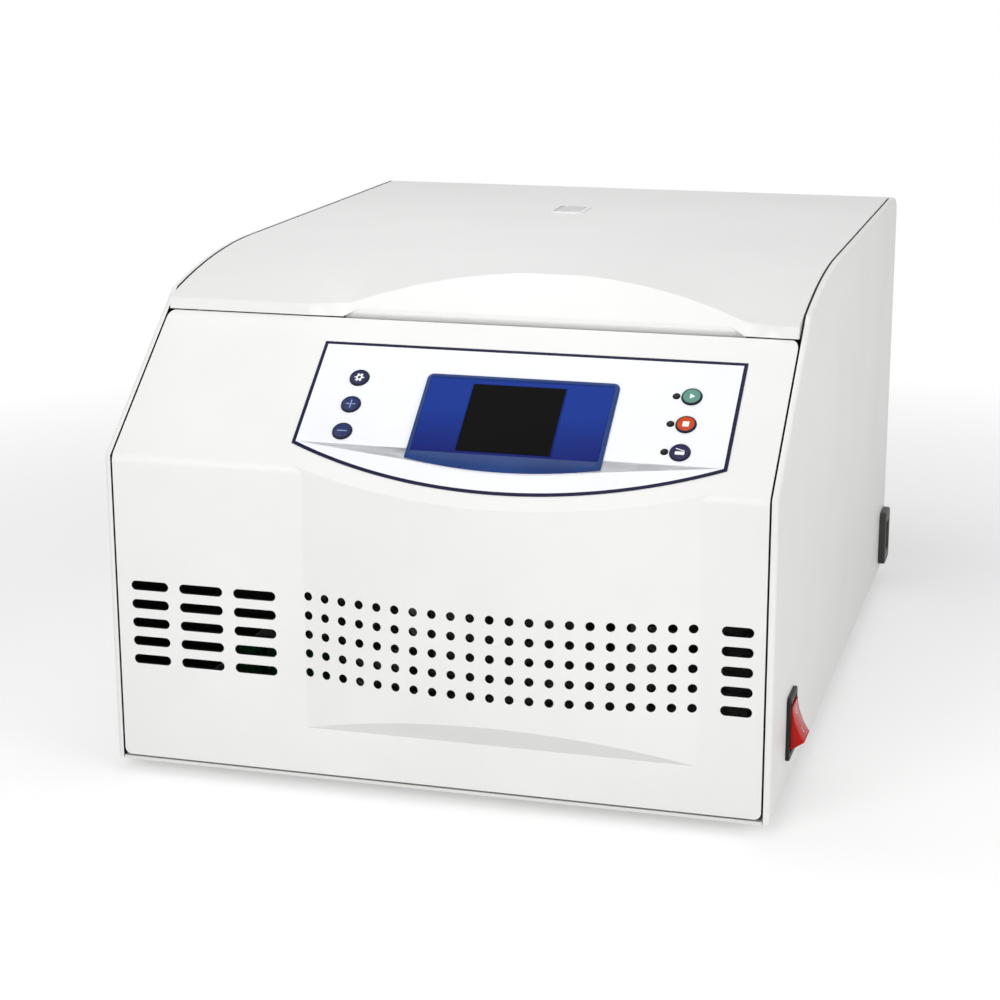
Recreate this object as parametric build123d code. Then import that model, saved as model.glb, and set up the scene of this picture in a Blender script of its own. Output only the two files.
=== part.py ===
from build123d import *
from math import cos, radians, sin, sqrt, tan
import os

os.makedirs("parts", exist_ok=True)

# Benchtop centrifuge for milk fat tests. Millimetres throughout.
# X points right and Y points back, as seen by the person at the keys, and Z points up.
# While it is built, x is 0 in the middle of the case, y is 0 at the front panel's
# vertical face and z is 0 at the underside of the case. The last lines move all of it
# so that the origin is on the bench, under the middle of the whole object.

# Case
panel_width = 420.0
case_depth = 582.0
case_height = 310.0
cover_gap = 1.2
cover_thickness = 4.3
cover_edge_radius = 3.0
rear_corner_radius = 15.0
base_thickness = 2.0
base_flange_height = 11.0
rear_thickness = 2.0
rear_panel_rise = 0.5
rear_screw_low = 30.0
rear_screw_drop = 14.0
rear_screw_inset = 10.0
rear_vent_rings = 4
rear_vent_inset = 3.0
rear_vents_per_ring = 6
rear_vent_radius = 2.6
rear_slot_columns = 4
rear_slot_pitch = 34.0
rear_slot_length = 27.0
fit_gap = 0.3
close_gap = 0.1

# How far a cutting shape runs past what it cuts
overshoot = 1.0
long_overshoot = 20.0

# Front panel
panel_wall = 3.0
panel_bottom = 3.2
panel_flange = 12.0
panel_corner_radius = 4.5
bend_radius = 8.0
bend_drop = 105.7
incline_angle = 38.0
incline_length = 124.8

# Bowed vent field, centred with the keys and the display
bulge_x = 43.5
bulge_radius = 475.0
bulge_depth = 17.0
bulge_overlap = 6.0
chin_height = 34.0
chin_angle = 46.6
vent_row_top = 122.0
vent_row_pitch = 12.6
vent_rows = 5
hole_radius = 2.85
hole_columns = 21
hole_pitch = 12.43
slot_height = 6.2
left_slot_top = 119.5
left_slot_pitch = 12.4
left_slots = [(9.6, 35.0), (42.7, 72.1), (79.7, 108.2)]
right_slots = [(26.6, 7.1)]

# Keys and display on the incline: x across, s up the slope from the bend
overlay_left = -94.0
overlay_right = 181.5
overlay_top = 104.0
overlay_corner_s = 19.6
overlay_sag = 29.6
overlay_thickness = 0.5
key_radius = 6.35
key_gap = 0.35
key_rise = 1.1
key_flange_radius = 7.8
key_flange_thickness = 1.5
key_stem_radius = 2.0
key_stem_length = 5.0
key_edge = 0.4
key_travel = 0.8
left_keys_x = -63.4
right_keys_x = 151.1
key_rows = [74.6, 52.7, 30.9]
led_x = 141.5
led_radius = 2.2
led_rise = 0.2
led_body_radius = 1.5
bezel_left = -18.5
bezel_right = 105.5
bezel_bottom = 13.6
bezel_top = 81.0
bezel_sag = 6.7
bezel_corner_radius = 4.0
bezel_rise = 1.3
bezel_inner_margin = 3.8
bezel_inner_depth = 0.5
bezel_well_bottom = 19.0
bezel_well_corner = 1.5
screen_left = 12.5
screen_right = 73.3
screen_bottom = 21.0
screen_top = 74.7
screen_rise = 0.7
window_margin = 4.0
module_margin = 6.0
module_thickness = 9.0
board_depth = 16.0
board_thickness = 1.6
board_margin = 4.0
board_bottom_s = 16.0
switch_size = 6.0
switch_gap = 0.3
switch_plunger_radius = 1.7
switch_plunger_height = 1.0
standoff_radius = 3.0
standoff_inset = 10.0
standoff_low = 6.0

# Lid
lid_side_gap = 1.5
lid_wall = 3.0
lid_front_gap = 0.8
lip_drop = 20.5
lid_flat_start = 245.0
nose_edge_room = 79.0
nose_sections = 6
nose_blend = 24.0
nose_end_drop = 20.7
nose_least_drop = 0.4
nose_arc_share = 0.25
roll_radius = 5.0
roll_setback = 9.5
finger_gap_margin = 1.0
lid_boss_wall = 3.0
lid_screw_bore = 7.0
lid_screw_depth = 6.0
lid_screw_rear_inset = 12.0
lid_screw_front_inset = 14.0
lid_screw_side_inset = 10.0
lid_screw_middle_x = 70.0
gap_end_slant = 12.0
lid_edge_radius = 11.5
lid_rear_gap = 1.0
liner_thickness = 2.0
liner_drop = 0.5
liner_rear_gap = 15.5
liner_front_gap = 17.0
viewport_x = -19.0
viewport_y = 429.0
viewport_length = 27.0
viewport_width = 36.0
viewport_flange = 2.0
viewport_wall = 2.0
viewport_rise = 1.0
viewport_corner = 4.0
viewport_flange_corner = 5.0
viewport_clear_corner = 2.5
pane_corner = 3.0
pane_sink = 0.3
pane_thickness = 2.5

# Deck, bowl and guard
deck_drop = 38.0
deck_thickness = 2.0
deck_flange_height = 14.0
pocket_depth = 14.0
pocket_length = 20.0
bowl_side_room = 26.0
bowl_front_room = 43.66
bowl_wall = 1.5
bowl_floor = 128.0
bowl_corner_radius = 16.0
bowl_rim_width = 9.0
guard_gap = 2.5
guard_wall = 4.0
guard_bottom = 112.0
gasket_width = 8.0
gasket_inset = 0.5
gasket_edge_radius = 2.0

# Motor
motor_radius = 66.0
motor_wall = 6.0
motor_bottom = 16.0
motor_floor = 6.0
fin_count = 24
fin_height = 4.0
fin_thickness = 2.4
fin_inset = 6.0
bracket_bottom = 88.0
bracket_thickness = 5.0
bracket_size = 210.0
bracket_corner_radius = 24.0
post_radius = 12.0
post_height = 46.0
isolator_radius = 16.0
isolator_inset = 2.0
shield_thickness = 8.0
shield_bore_gap = 1.0
boss_radius = 24.0
boss_rise = 18.0
bearing_radius = 19.0
bearing_height = 12.0
stator_bore = 36.0
stator_bottom = 38.0
stator_height = 36.0
winding_height = 9.0
winding_inner_inset = 3.0
winding_outer_inset = 5.0
air_gap = 0.6
shaft_radius = 10.0
shaft_core_radius = 12.0
shaft_nose_radius = 8.0
shaft_end_gap = 0.5
running_gap = 0.05
boot_wall = 5.0
boot_flange = 9.0
boot_flange_height = 2.5
boot_overlap = 12.0

# Swing-out rotor
trunnion_radius = 92.0
trunnion_height = 217.0
yoke_height = 24.0
yoke_hub_drop = 20.0
yoke_corner_radius = 4.0
yoke_hub_radius = 24.0
yoke_arm_width = 20.0
yoke_head_radius = 102.0
yoke_head_length = 60.0
yoke_head_width = 16.0
trunnion_pin_radius = 4.0
pin_bucket_gap = 1.5
pin_root = 8.0
nut_radius = 14.0
nut_height = 14.0
nut_cap_radius = 11.0
nut_cap_height = 6.0
nut_cap_overlap = 2.0
bucket_radius = 33.0
bucket_above = 18.0
bucket_below = 78.0
bucket_floor = 6.0
bucket_ear = 6.0
bucket_ear_width = 16.0
bucket_edge_radius = 5.0
ear_root = 4.0
ear_below = 12.0
ear_above = 10.0
ear_seat_gap = 0.5
tube_bore_radius = 12.5
tube_bore_spacing = 29.0

# Hinge and lock
hinge_x = 150.0
knuckle_radius = 6.5
knuckle_length = 23.4
ear_thickness = 6.0
hinge_pin_radius = 3.0
hinge_pin_overhang = 2.0
leaf_arm_length = 27.0
leaf_arm_rise = 2.0
leaf_wing_length = 40.0
leaf_wing_overlap = 5.0
leaf_wing_margin = 8.0
leaf_thickness = 4.0
bracket_foot_length = 24.0
bracket_foot_thickness = 3.0
bracket_ear_depth = 10.0
lock_across_share = 0.837
lock_along_share = 0.957
striker_thickness = 3.0
striker_width = 14.0
striker_depth = 28.0
striker_hole_radius = 4.4
striker_foot_half = 8.0
striker_foot_margin = 4.0
striker_foot_thickness = 2.0
striker_slot_gap = 1.0
striker_slot_front = 4.0
bolt_radius = 3.0
bolt_drop = 12.0
bolt_rest_gap = 2.5
bolt_length = 30.0
lock_length = 46.0
lock_width = 30.0
lock_height = 26.0
lock_floor = 4.0
lock_outer_reach = 12.0
lock_bore_inner = 40.0
lock_bore_outer = 9.0

# Power switch and mains inlet on the right side
switch_y = 70.0
switch_z = 41.4
switch_bezel_width = 29.0
switch_bezel_height = 42.0
switch_bezel_rise = 2.5
switch_body_depth = 24.0
rocker_width = 22.0
rocker_half_height = 11.8
rocker_tilt = 20.0
rocker_reach = 9.0
rocker_waist = 7.3
rocker_pin_radius = 2.0
rocker_pin_reach = 1.0
rocker_axis_depth = 3.6
rocker_gap = 0.6
rocker_back = 4.0
rocker_taper = 3.0
rocker_base_half = 14.4
rocker_base_back = 1.0
side_frame_radius = 3.0
switch_margin_y = 1.2
switch_margin_z = 1.7
switch_body_floor = 4.0
inlet_rear_room = 20.0
inlet_z = 30.0
inlet_width = 30.0
inlet_height = 44.0
inlet_rise = 5.4
inlet_corner_radius = 6.0
inlet_depth = 22.0
socket_width = 16.6
socket_height = 24.6
socket_depth = 17.0
inlet_pin_width = 4.0
inlet_pin_thickness = 2.0
inlet_pin_length = 14.0
inlet_pin_spread = 7.0
inlet_pin_offset = 2.0
inlet_pin_tail = 6.0
inlet_margin_y = 2.0
inlet_margin_z = 8.0

# Cooling fan, power board, feet and screws
fan_x = 115.0
fan_z = 62.0
fan_size = 92.0
fan_thickness = 25.0
fan_bore_radius = 43.5
fan_hub_radius = 19.0
fan_blade_gap = 1.5
fan_blades = 7
fan_blade_thickness = 2.0
fan_blade_width = 18.0
fan_blade_angle = 42.0
fan_front_gap = 0.5
fan_rear_gap = 2.0
fan_corner_radius = 4.0
fan_screw_inset = 5.0
fan_pin_radius = 2.0
spider_thickness = 3.0
strut_count = 3
strut_width = 5.0
strut_first_turn = 45.0
power_board_length = 150.0
power_board_width = 100.0
power_board_side_room = 21.2
power_board_y = 90.0
power_board_lift = 10.0
board_hole_inset = 8.0
capacitor_count = 3
capacitor_radius = 11.0
capacitor_height = 32.0
capacitor_pitch = 25.0
capacitor_first_x = -53.0
capacitor_y = 30.0
board_boxes = [(8.0, 48.0, -42.0, -12.0, 26.0), (-65.0, -31.0, -40.0, -16.0, 20.0)]
sink_x = 22.0
sink_y = 16.0
sink_length = 46.0
sink_plate = 5.0
sink_height = 40.0
sink_fins = 6
sink_fin_pitch = 8.6
sink_fin_thickness = 3.0
sink_fin_depth = 20.0
foot_radius = 17.0
foot_height = 8.0
foot_edge_radius = 1.5
foot_stud_rise = 3.0
foot_side_room = 51.2
foot_front_y = 60.0
foot_rear_room = 60.0
screw_radius = 2.0
screw_head_radius = 3.8
screw_head_height = 1.8
screw_length = 6.0

# Values worked out from the sizes above
slope = radians(incline_angle)
case_half = panel_width / 2 + cover_gap + cover_thickness
inner_half = case_half - cover_thickness
bend_height = case_height - bend_drop
panel_top_y = incline_length * cos(slope)
panel_top_z = bend_height + incline_length * sin(slope)
left_columns = [(a - panel_width / 2, b - panel_width / 2) for a, b in left_slots]
right_columns = [(panel_width / 2 - a, panel_width / 2 - b) for a, b in right_slots]
deck_top = case_height - deck_drop
bowl_radius = panel_width / 2 - bowl_side_room
bowl_y = panel_top_y + bowl_front_room + bowl_radius
lip_top = case_height - lip_drop
nose_end_z = case_height - nose_end_drop
nose_half_width = panel_width / 2 - nose_edge_room
finger_gap_half_width = nose_half_width + finger_gap_margin
lid_half = inner_half - lid_side_gap
lid_bottom = panel_top_z + lid_front_gap
rear_inner_y = case_depth - rear_thickness
hinge_y = rear_inner_y - lid_rear_gap - lid_edge_radius
hinge_z = case_height - lid_edge_radius
lid_arc_radius = ((lid_flat_start - panel_top_y) ** 2 + (case_height - lip_top) ** 2) / (
    2 * (case_height - lip_top)
)
liner_top = lid_bottom - liner_drop
liner_bottom = liner_top - liner_thickness
lock_x = bowl_radius * lock_across_share
lock_y = bowl_y - bowl_radius * lock_along_share
bolt_height = deck_top - bolt_drop
inlet_y = case_depth - inlet_rear_room
foot_x = inner_half - foot_side_room
foot_rear_y = case_depth - foot_rear_room
power_board_x = power_board_side_room + power_board_length / 2 - inner_half
console = Location(
    Plane(origin=(0, 0, bend_height), x_dir=(1, 0, 0), z_dir=(0, -sin(slope), cos(slope)))
)
parts = {}


# Shared shapes
def block(x0, x1, y0, y1, z0, z1):
    middle = Pos((x0 + x1) / 2, (y0 + y1) / 2, (z0 + z1) / 2)
    return middle * Box(x1 - x0, y1 - y0, z1 - z0)


def post(radius, x, y, z0, z1):
    return Pos(x, y, (z0 + z1) / 2) * Cylinder(radius, z1 - z0)


def tube(inner, outer, x, y, z0, z1):
    return post(outer, x, y, z0, z1) - post(inner, x, y, z0 - overshoot, z1 + overshoot)


def rod_x(radius, x0, x1, y, z):
    return Pos((x0 + x1) / 2, y, z) * Rot(0, 90, 0) * Cylinder(radius, x1 - x0)


def rod_y(radius, x, y0, y1, z):
    return Pos(x, (y0 + y1) / 2, z) * Rot(90, 0, 0) * Cylinder(radius, y1 - y0)


def side_prism(outline, x0, x1):
    """A face drawn as (y, z), run from x0 to x1."""
    return Pos(x0, 0, 0) * extrude(Plane.YZ * outline, x1 - x0)


def front_prism(outline, y0, y1):
    """A face drawn as (x, z), run from y0 back to y1."""
    return Pos(0, y1, 0) * extrude(Plane.XZ * outline, y1 - y0)


def polygon(*points):
    return make_face(Polyline(*points, close=True))


def turned(outline, x=0, y=0):
    """A half section drawn as (radius, height), turned about a vertical axis."""
    return Pos(x, y, 0) * revolve(Plane.XZ * outline, Axis.Z)


def incline_y(z, inset=0.0):
    """Where the incline's plane, moved in by inset, stands at height z."""
    return ((z - bend_height) * cos(slope) + inset) / sin(slope)


def incline_z(y, inset=0.0):
    """How high the incline's plane, moved in by inset, is at y."""
    return bend_height + (sin(slope) * y - inset) / cos(slope)


# Base, covers and rear panel
def cover_peak_y():
    """How far back the incline, carried on upwards, meets the lid's curve."""
    rise = tan(slope)
    start = bend_height - case_height + lid_arc_radius
    a = 1 + rise**2
    b = 2 * (rise * start - lid_flat_start)
    c = lid_flat_start**2 + start**2 - lid_arc_radius**2
    return (sqrt(b**2 - 4 * a * c) - b) / (2 * a)


def cover_outline():
    peak_y = cover_peak_y()
    peak_z = incline_z(peak_y)
    arc_middle_y = (peak_y + lid_flat_start) / 2
    arc_middle_z = lid_arc_z(arc_middle_y)
    corner = rear_corner_radius
    edges = [
        Line((0, 0), (0, bend_height)),
        Line((0, bend_height), (peak_y, peak_z)),
        ThreePointArc((peak_y, peak_z), (arc_middle_y, arc_middle_z), (lid_flat_start, case_height)),
        Line((lid_flat_start, case_height), (case_depth - corner, case_height)),
        RadiusArc((case_depth - corner, case_height), (case_depth, case_height - corner), corner),
        Line((case_depth, case_height - corner), (case_depth, 0)),
        Line((case_depth, 0), (0, 0)),
    ]
    return make_face(edges)


def lid_arc_z(y, inset=0.0):
    """Height of the lid's curved side profile, moved in by inset."""
    run = lid_flat_start - y
    reach = lid_arc_radius - inset
    return case_height - lid_arc_radius + sqrt(reach**2 - run**2)


def side_cover():
    """The right cover; the left one is its mirror image."""
    cover = side_prism(cover_outline(), inner_half, case_half)
    rim = cover.faces().sort_by(Axis.X)[-1].edges()
    return fillet(rim, cover_edge_radius)


def base_plate():
    half = inner_half - fit_gap
    flange = base_thickness
    top = base_flange_height
    rear = rear_inner_y - fit_gap
    plate = block(-half, half, 0, case_depth, 0, base_thickness)
    for sign in (-1, 1):
        edge = sign * half
        inner = sign * (half - flange)
        low, high = min(edge, inner), max(edge, inner)
        plate += block(low, high, panel_flange + panel_wall, rear, base_thickness, top)
    plate += block(-half, half, rear - flange, rear, base_thickness, top)
    for x, y in post_places():
        plate += post(post_radius, x, y, base_thickness, post_height)
    for x, y in foot_places():
        plate -= post(screw_radius + running_gap, x, y, -overshoot, base_thickness + overshoot)
    return plate


def post_places():
    reach = bracket_size / 2 - isolator_radius - isolator_inset
    return [(sx * reach, bowl_y + sy * reach) for sx in (-1, 1) for sy in (-1, 1)]


def foot_places():
    return [(sx * foot_x, y) for sx in (-1, 1) for y in (foot_front_y, foot_rear_y)]


def rear_screw_places():
    rows = [rear_screw_low, case_height / 2, deck_top - rear_screw_drop]
    return [(sx * (inner_half - rear_screw_inset), z) for sx in (-1, 1) for z in rows]


def fan_screw_places():
    reach = fan_size / 2 - fan_screw_inset
    return [(fan_x + sx * reach, fan_z + sz * reach) for sx in (-1, 1) for sz in (-1, 1)]


def rear_panel():
    half = inner_half - fit_gap
    low = base_thickness + fit_gap
    high = hinge_z + rear_panel_rise
    panel = block(-half, half, rear_inner_y, case_depth, low, high)
    cutters = Sketch()
    for ring in range(1, rear_vent_rings + 1):
        radius = fan_bore_radius * ring / rear_vent_rings - rear_vent_inset
        holes = rear_vents_per_ring * ring
        for i in range(holes):
            angle = 360.0 * i / holes
            x = fan_x + radius * cos(radians(angle))
            z = fan_z + radius * sin(radians(angle))
            cutters += Pos(x, z) * Circle(rear_vent_radius)
    for row in range(vent_rows):
        for column in range(rear_slot_columns):
            x = -fan_x + (column - (rear_slot_columns - 1) / 2) * rear_slot_pitch
            z = fan_z + (row - (vent_rows - 1) / 2) * vent_row_pitch
            cutters += Pos(x, z) * SlotOverall(rear_slot_length, slot_height)
    for x, z in rear_screw_places() + fan_screw_places():
        cutters += Pos(x, z) * Circle(screw_radius + running_gap)
    return panel - front_prism(cutters, rear_inner_y - overshoot, case_depth + overshoot)


def case_screws():
    screws = []
    for x, z in rear_screw_places() + fan_screw_places():
        head = rod_y(screw_head_radius, x, case_depth, case_depth + screw_head_height, z)
        screws.append(head + rod_y(screw_radius, x, case_depth - screw_length, case_depth, z))
    return Compound(screws)


def feet():
    pads = []
    for x, y in foot_places():
        pad = post(foot_radius, x, y, -foot_height, 0)
        pad = fillet(pad.edges().sort_by(Axis.Z)[0], foot_edge_radius)
        pad -= post(screw_head_radius + fit_gap, x, y, -foot_height - overshoot, -foot_height / 2)
        stud = post(screw_radius, x, y, -foot_height / 2, base_thickness + foot_stud_rise)
        pads.append(pad + stud)
    return Compound(pads)


# Front panel
def panel_mask(inset):
    width = panel_width - 2 * inset
    height = panel_top_z - panel_bottom - inset
    middle_z = panel_bottom + inset + height / 2
    corner = panel_corner_radius - inset
    outline = Pos(0, middle_z) * RectangleRounded(width, height, corner)
    return front_prism(outline, -bulge_depth - long_overshoot, panel_top_y + long_overshoot)


def bulge_form(inset):
    round_bar = Pos(bulge_x, bulge_radius - bulge_depth, case_height / 2) * Cylinder(
        bulge_radius - inset, case_height * 2
    )
    rise = radians(chin_angle)
    front = -2 * bulge_depth
    back = inset + bulge_overlap

    def chin_z(y):
        return chin_height - y * tan(rise) + inset / cos(rise)

    window = polygon(
        (front, chin_z(front)),
        (back, chin_z(back)),
        (back, incline_z(back, inset)),
        (front, incline_z(front, inset)),
    )
    half = panel_width / 2 - inset
    return round_bar & side_prism(window, -half, half)


def console_form(inset):
    bend = incline_z(inset, inset)
    top_y = panel_top_y - inset
    low = panel_bottom + inset
    half = panel_width / 2 - inset
    prism = side_prism(
        polygon((inset, low), (inset, bend), (top_y, incline_z(top_y, inset)), (top_y, low)),
        -half,
        half,
    )
    bend_edge = prism.edges().filter_by(Axis.X).sort_by_distance((0, inset, bend))[0]
    prism = fillet(bend_edge, bend_radius - inset)
    return (prism + bulge_form(inset)) & panel_mask(inset)


def vent_cutters():
    field = Sketch()
    for row in range(vent_rows):
        z = vent_row_top - row * vent_row_pitch
        left_z = left_slot_top - row * left_slot_pitch
        for left, right in left_columns:
            field += Pos((left + right) / 2, left_z) * SlotOverall(right - left, slot_height)
        for left, right in right_columns:
            field += Pos((left + right) / 2, z) * SlotOverall(right - left, slot_height)
        for column in range(hole_columns):
            turn = (column - (hole_columns - 1) / 2) * hole_pitch / bulge_radius
            field += Pos(bulge_x + bulge_radius * sin(turn), z) * Circle(hole_radius)
    return front_prism(field, -bulge_depth - long_overshoot, panel_flange)


def front_panel():
    inner = panel_flange
    back = panel_top_y + long_overshoot
    room = side_prism(
        polygon(
            (inner, 0),
            (inner, incline_z(inner, inner)),
            (back, incline_z(back, inner)),
            (back, 0),
        ),
        -panel_width / 2 - overshoot,
        panel_width / 2 + overshoot,
    )
    panel = console_form(0) - console_form(panel_wall) - room - vent_cutters()
    window = block(
        screen_left - window_margin,
        screen_right + window_margin,
        screen_bottom - window_margin,
        screen_top + window_margin,
        -panel_wall - overshoot,
        overshoot,
    )
    panel -= console * window
    for x, s in key_places():
        panel -= console * post(key_radius + key_gap, x, s, -panel_wall - overshoot, overshoot)
    for x, s in led_places():
        panel -= console * post(led_radius + fit_gap, x, s, -panel_wall - overshoot, overshoot)
    return panel


def key_places():
    return [(x, s) for x in (left_keys_x, right_keys_x) for s in key_rows]


def led_places():
    return [(led_x, s) for s in key_rows]


# Overlay, display and keys, built flat and then laid on the incline
def bowed_outline(left, right, bottom, top, sag):
    middle = (left + right) / 2
    edges = [
        Line((left, bottom), (left, top)),
        Line((left, top), (right, top)),
        Line((right, top), (right, bottom)),
        ThreePointArc((right, bottom), (middle, bottom - sag), (left, bottom)),
    ]
    return make_face(edges)


def bezel_outline(margin):
    face = bowed_outline(
        bezel_left + margin,
        bezel_right - margin,
        bezel_bottom + margin,
        bezel_top - margin,
        bezel_sag,
    )
    corners = face.vertices().group_by(Axis.Y)[-1]
    return fillet(corners, bezel_corner_radius - margin / 2)


def key_overlay():
    outline = bowed_outline(overlay_left, overlay_right, overlay_corner_s, overlay_top, overlay_sag)
    sheet = extrude(outline, overlay_thickness)
    sheet -= extrude(bezel_outline(-close_gap), overlay_thickness + overshoot)
    for x, s in key_places():
        sheet -= post(key_radius + key_gap, x, s, -overshoot, overshoot)
    for x, s in led_places():
        sheet -= post(led_radius + fit_gap, x, s, -overshoot, overshoot)
    return console * sheet


def display_bezel():
    top = overlay_thickness + bezel_rise
    frame = extrude(bezel_outline(0), top)
    left, right = bezel_left + bezel_inner_margin, bezel_right - bezel_inner_margin
    low, high = bezel_well_bottom, bezel_top - bezel_inner_margin
    well = RectangleRounded(right - left, high - low, bezel_well_corner)
    middle = Pos((left + right) / 2, (low + high) / 2, top - bezel_inner_depth)
    frame -= middle * extrude(well, top)
    frame -= block(screen_left, screen_right, screen_bottom, screen_top, -overshoot, top + overshoot)
    return console * frame


def display_screen():
    top = overlay_thickness + bezel_rise - bezel_inner_depth + screen_rise
    glass = block(
        screen_left + close_gap,
        screen_right - close_gap,
        screen_bottom + close_gap,
        screen_top - close_gap,
        -panel_wall,
        top,
    )
    module = block(
        screen_left - module_margin,
        screen_right + module_margin,
        screen_bottom - module_margin,
        screen_top + module_margin,
        -panel_wall - module_thickness,
        -panel_wall - running_gap,
    )
    return console * (glass + module)


def control_board():
    top = -board_depth + board_thickness
    board = block(
        overlay_left + board_margin,
        overlay_right - board_margin,
        board_bottom_s,
        overlay_top - board_margin,
        -board_depth,
        top,
    )
    switch_top = key_stem_end() - key_travel - switch_gap
    switch_shoulder = switch_top - switch_plunger_height
    for x, s in key_places():
        half = switch_size / 2
        board += block(x - half, x + half, s - half, s + half, top, switch_shoulder)
        board += post(switch_plunger_radius, x, s, switch_shoulder, switch_top)
    return console * board


def key_stem_end():
    return -panel_wall - key_flange_thickness - key_stem_length


def status_leds():
    lenses = []
    top = overlay_thickness + led_rise
    for x, s in led_places():
        lens = post(led_radius, x, s, -panel_wall, top)
        lens += post(led_body_radius, x, s, -board_depth + board_thickness, -panel_wall)
        lenses.append(console * lens)
    return Compound(lenses)


def board_standoffs():
    columns = []
    front = -panel_wall
    back = -board_depth + board_thickness
    for x in (overlay_left + standoff_inset, overlay_right - standoff_inset):
        for s in (board_bottom_s + standoff_low, overlay_top - standoff_inset):
            columns.append(console * post(standoff_radius, x, s, back, front))
    left = power_board_x - power_board_length / 2
    right = left + power_board_length
    near = power_board_y - power_board_width / 2
    far = near + power_board_width
    top = base_thickness + power_board_lift
    for x in (left + board_hole_inset, right - board_hole_inset):
        for y in (near + board_hole_inset, far - board_hole_inset):
            columns.append(post(standoff_radius, x, y, base_thickness, top))
    return Compound(columns)


def key(x, s):
    top = overlay_thickness + key_rise
    cap = post(key_radius, x, s, -panel_wall - running_gap, top)
    cap = chamfer(cap.edges().sort_by(Axis.Z)[-1], key_edge)
    under = -panel_wall - running_gap - key_flange_thickness
    cap += post(key_flange_radius, x, s, under, -panel_wall - running_gap)
    cap += post(key_stem_radius, x, s, key_stem_end(), under)
    return console * cap


# Lid
def lid_side_outline(inset):
    front = panel_top_y + inset
    top = case_height - inset
    edge = lid_edge_radius - inset
    middle_y = (front + lid_flat_start) / 2
    low = lid_bottom if inset == 0 else deck_top
    edges = [
        Line((front, low), (front, lid_arc_z(front, inset))),
        ThreePointArc(
            (front, lid_arc_z(front, inset)),
            (middle_y, lid_arc_z(middle_y, inset)),
            (lid_flat_start, top),
        ),
        Line((lid_flat_start, top), (hinge_y, top)),
        ThreePointArc((hinge_y, top), (hinge_y + edge, hinge_z), (hinge_y, hinge_z - edge)),
        Line((hinge_y, hinge_z - edge), (hinge_y, low)),
        Line((hinge_y, low), (front, low)),
    ]
    return make_face(edges)


def nose_top_z(offset):
    """Height of the nose face's curved upper edge, offset sideways from its middle."""
    sag = case_height - nose_end_z
    radius = (nose_half_width**2 + sag**2) / (2 * sag)
    drop = radius - sqrt(radius**2 - offset**2)
    return case_height - max(drop, nose_least_drop)


def lid_nose_outline(offset, inset):
    """Side view of the nose at a place offset sideways from its middle."""
    low = lid_bottom if inset == 0 else deck_top
    top = case_height - inset
    edge = lid_edge_radius - inset
    peak = nose_top_z(offset) - inset
    front = incline_y(peak, inset)
    middle = ((front + lid_flat_start) / 2, top - (top - peak) * nose_arc_share)
    edges = [
        Line((incline_y(low, inset), low), (front, peak)),
        ThreePointArc((front, peak), middle, (lid_flat_start, top)),
        Line((lid_flat_start, top), (hinge_y, top)),
        ThreePointArc((hinge_y, top), (hinge_y + edge, hinge_z), (hinge_y, hinge_z - edge)),
        Line((hinge_y, hinge_z - edge), (hinge_y, low)),
        Line((hinge_y, low), (incline_y(low, inset), low)),
    ]
    return make_face(edges)


def lid_form(inset):
    """The lid's solid form: side lengths, and a middle that swells out to the nose."""
    half = lid_half - inset
    wide = nose_half_width + nose_blend + inset
    middle = [Pos(bulge_x - wide, 0, 0) * (Plane.YZ * lid_side_outline(inset))]
    for i in range(-nose_sections, nose_sections + 1):
        share = i / nose_sections
        outline = lid_nose_outline(nose_half_width * share, inset)
        x = bulge_x + (nose_half_width + inset) * share
        middle.append(Pos(x, 0, 0) * (Plane.YZ * outline))
    middle.append(Pos(bulge_x + wide, 0, 0) * (Plane.YZ * lid_side_outline(inset)))
    left = side_prism(lid_side_outline(inset), -half, bulge_x - wide)
    right = side_prism(lid_side_outline(inset), bulge_x + wide, half)
    return left + loft(middle, ruled=True) + right


def roll_centre():
    """Middle of the rolled edge above the finger gap, as (y, z)."""
    y = panel_top_y + roll_setback * cos(slope) + roll_radius * sin(slope)
    z = panel_top_z + roll_setback * sin(slope) - roll_radius * cos(slope)
    return y, z


def finger_gap_form(reach):
    """Front view of the finger gap, with slanted ends above the lid's lower edge."""
    roll_z = roll_centre()[1]
    low = lid_bottom - long_overshoot
    high = roll_z + roll_radius
    left = bulge_x - reach
    right = bulge_x + reach
    outline = polygon(
        (left, low),
        (right, low),
        (right, lid_bottom),
        (right - gap_end_slant, high),
        (left + gap_end_slant, high),
        (left, lid_bottom),
    )
    return front_prism(outline, panel_top_y - long_overshoot, lid_flat_start)


def lid_shell():
    outer = lid_form(0)
    shell = outer - lid_form(lid_wall)
    low = lid_bottom - long_overshoot
    wide = lid_half - lid_wall
    shell -= block(-wide, wide, liner_rear_y(), case_depth, low, hinge_z)
    roll_y, roll_z = roll_centre()
    left = bulge_x - finger_gap_half_width
    right = bulge_x + finger_gap_half_width
    touch_y = roll_y - roll_radius * sin(slope)
    touch_z = roll_z + roll_radius * cos(slope)
    mouth = polygon(
        (panel_top_y - long_overshoot, low),
        (panel_top_y - long_overshoot, touch_z + long_overshoot),
        (touch_y - long_overshoot * sin(slope), touch_z + long_overshoot * cos(slope)),
        (roll_y, roll_z),
        (roll_y, low),
    )
    gap = finger_gap_form(finger_gap_half_width)
    shell -= side_prism(mouth, left, right) & gap
    shell += rod_x(roll_radius, left, right, roll_y, roll_z) & gap
    for x, y in lid_screw_places():
        boss = post(screw_radius + lid_boss_wall, x, y, liner_top, case_height)
        shell += boss & outer
    for x, y in lid_screw_places():
        bore = post(screw_radius + running_gap, x, y, liner_top - overshoot, liner_top + lid_screw_bore)
        shell -= bore
    return shell - viewport_hole(fit_gap)


def liner_rear_y():
    return hinge_y - liner_rear_gap


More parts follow.
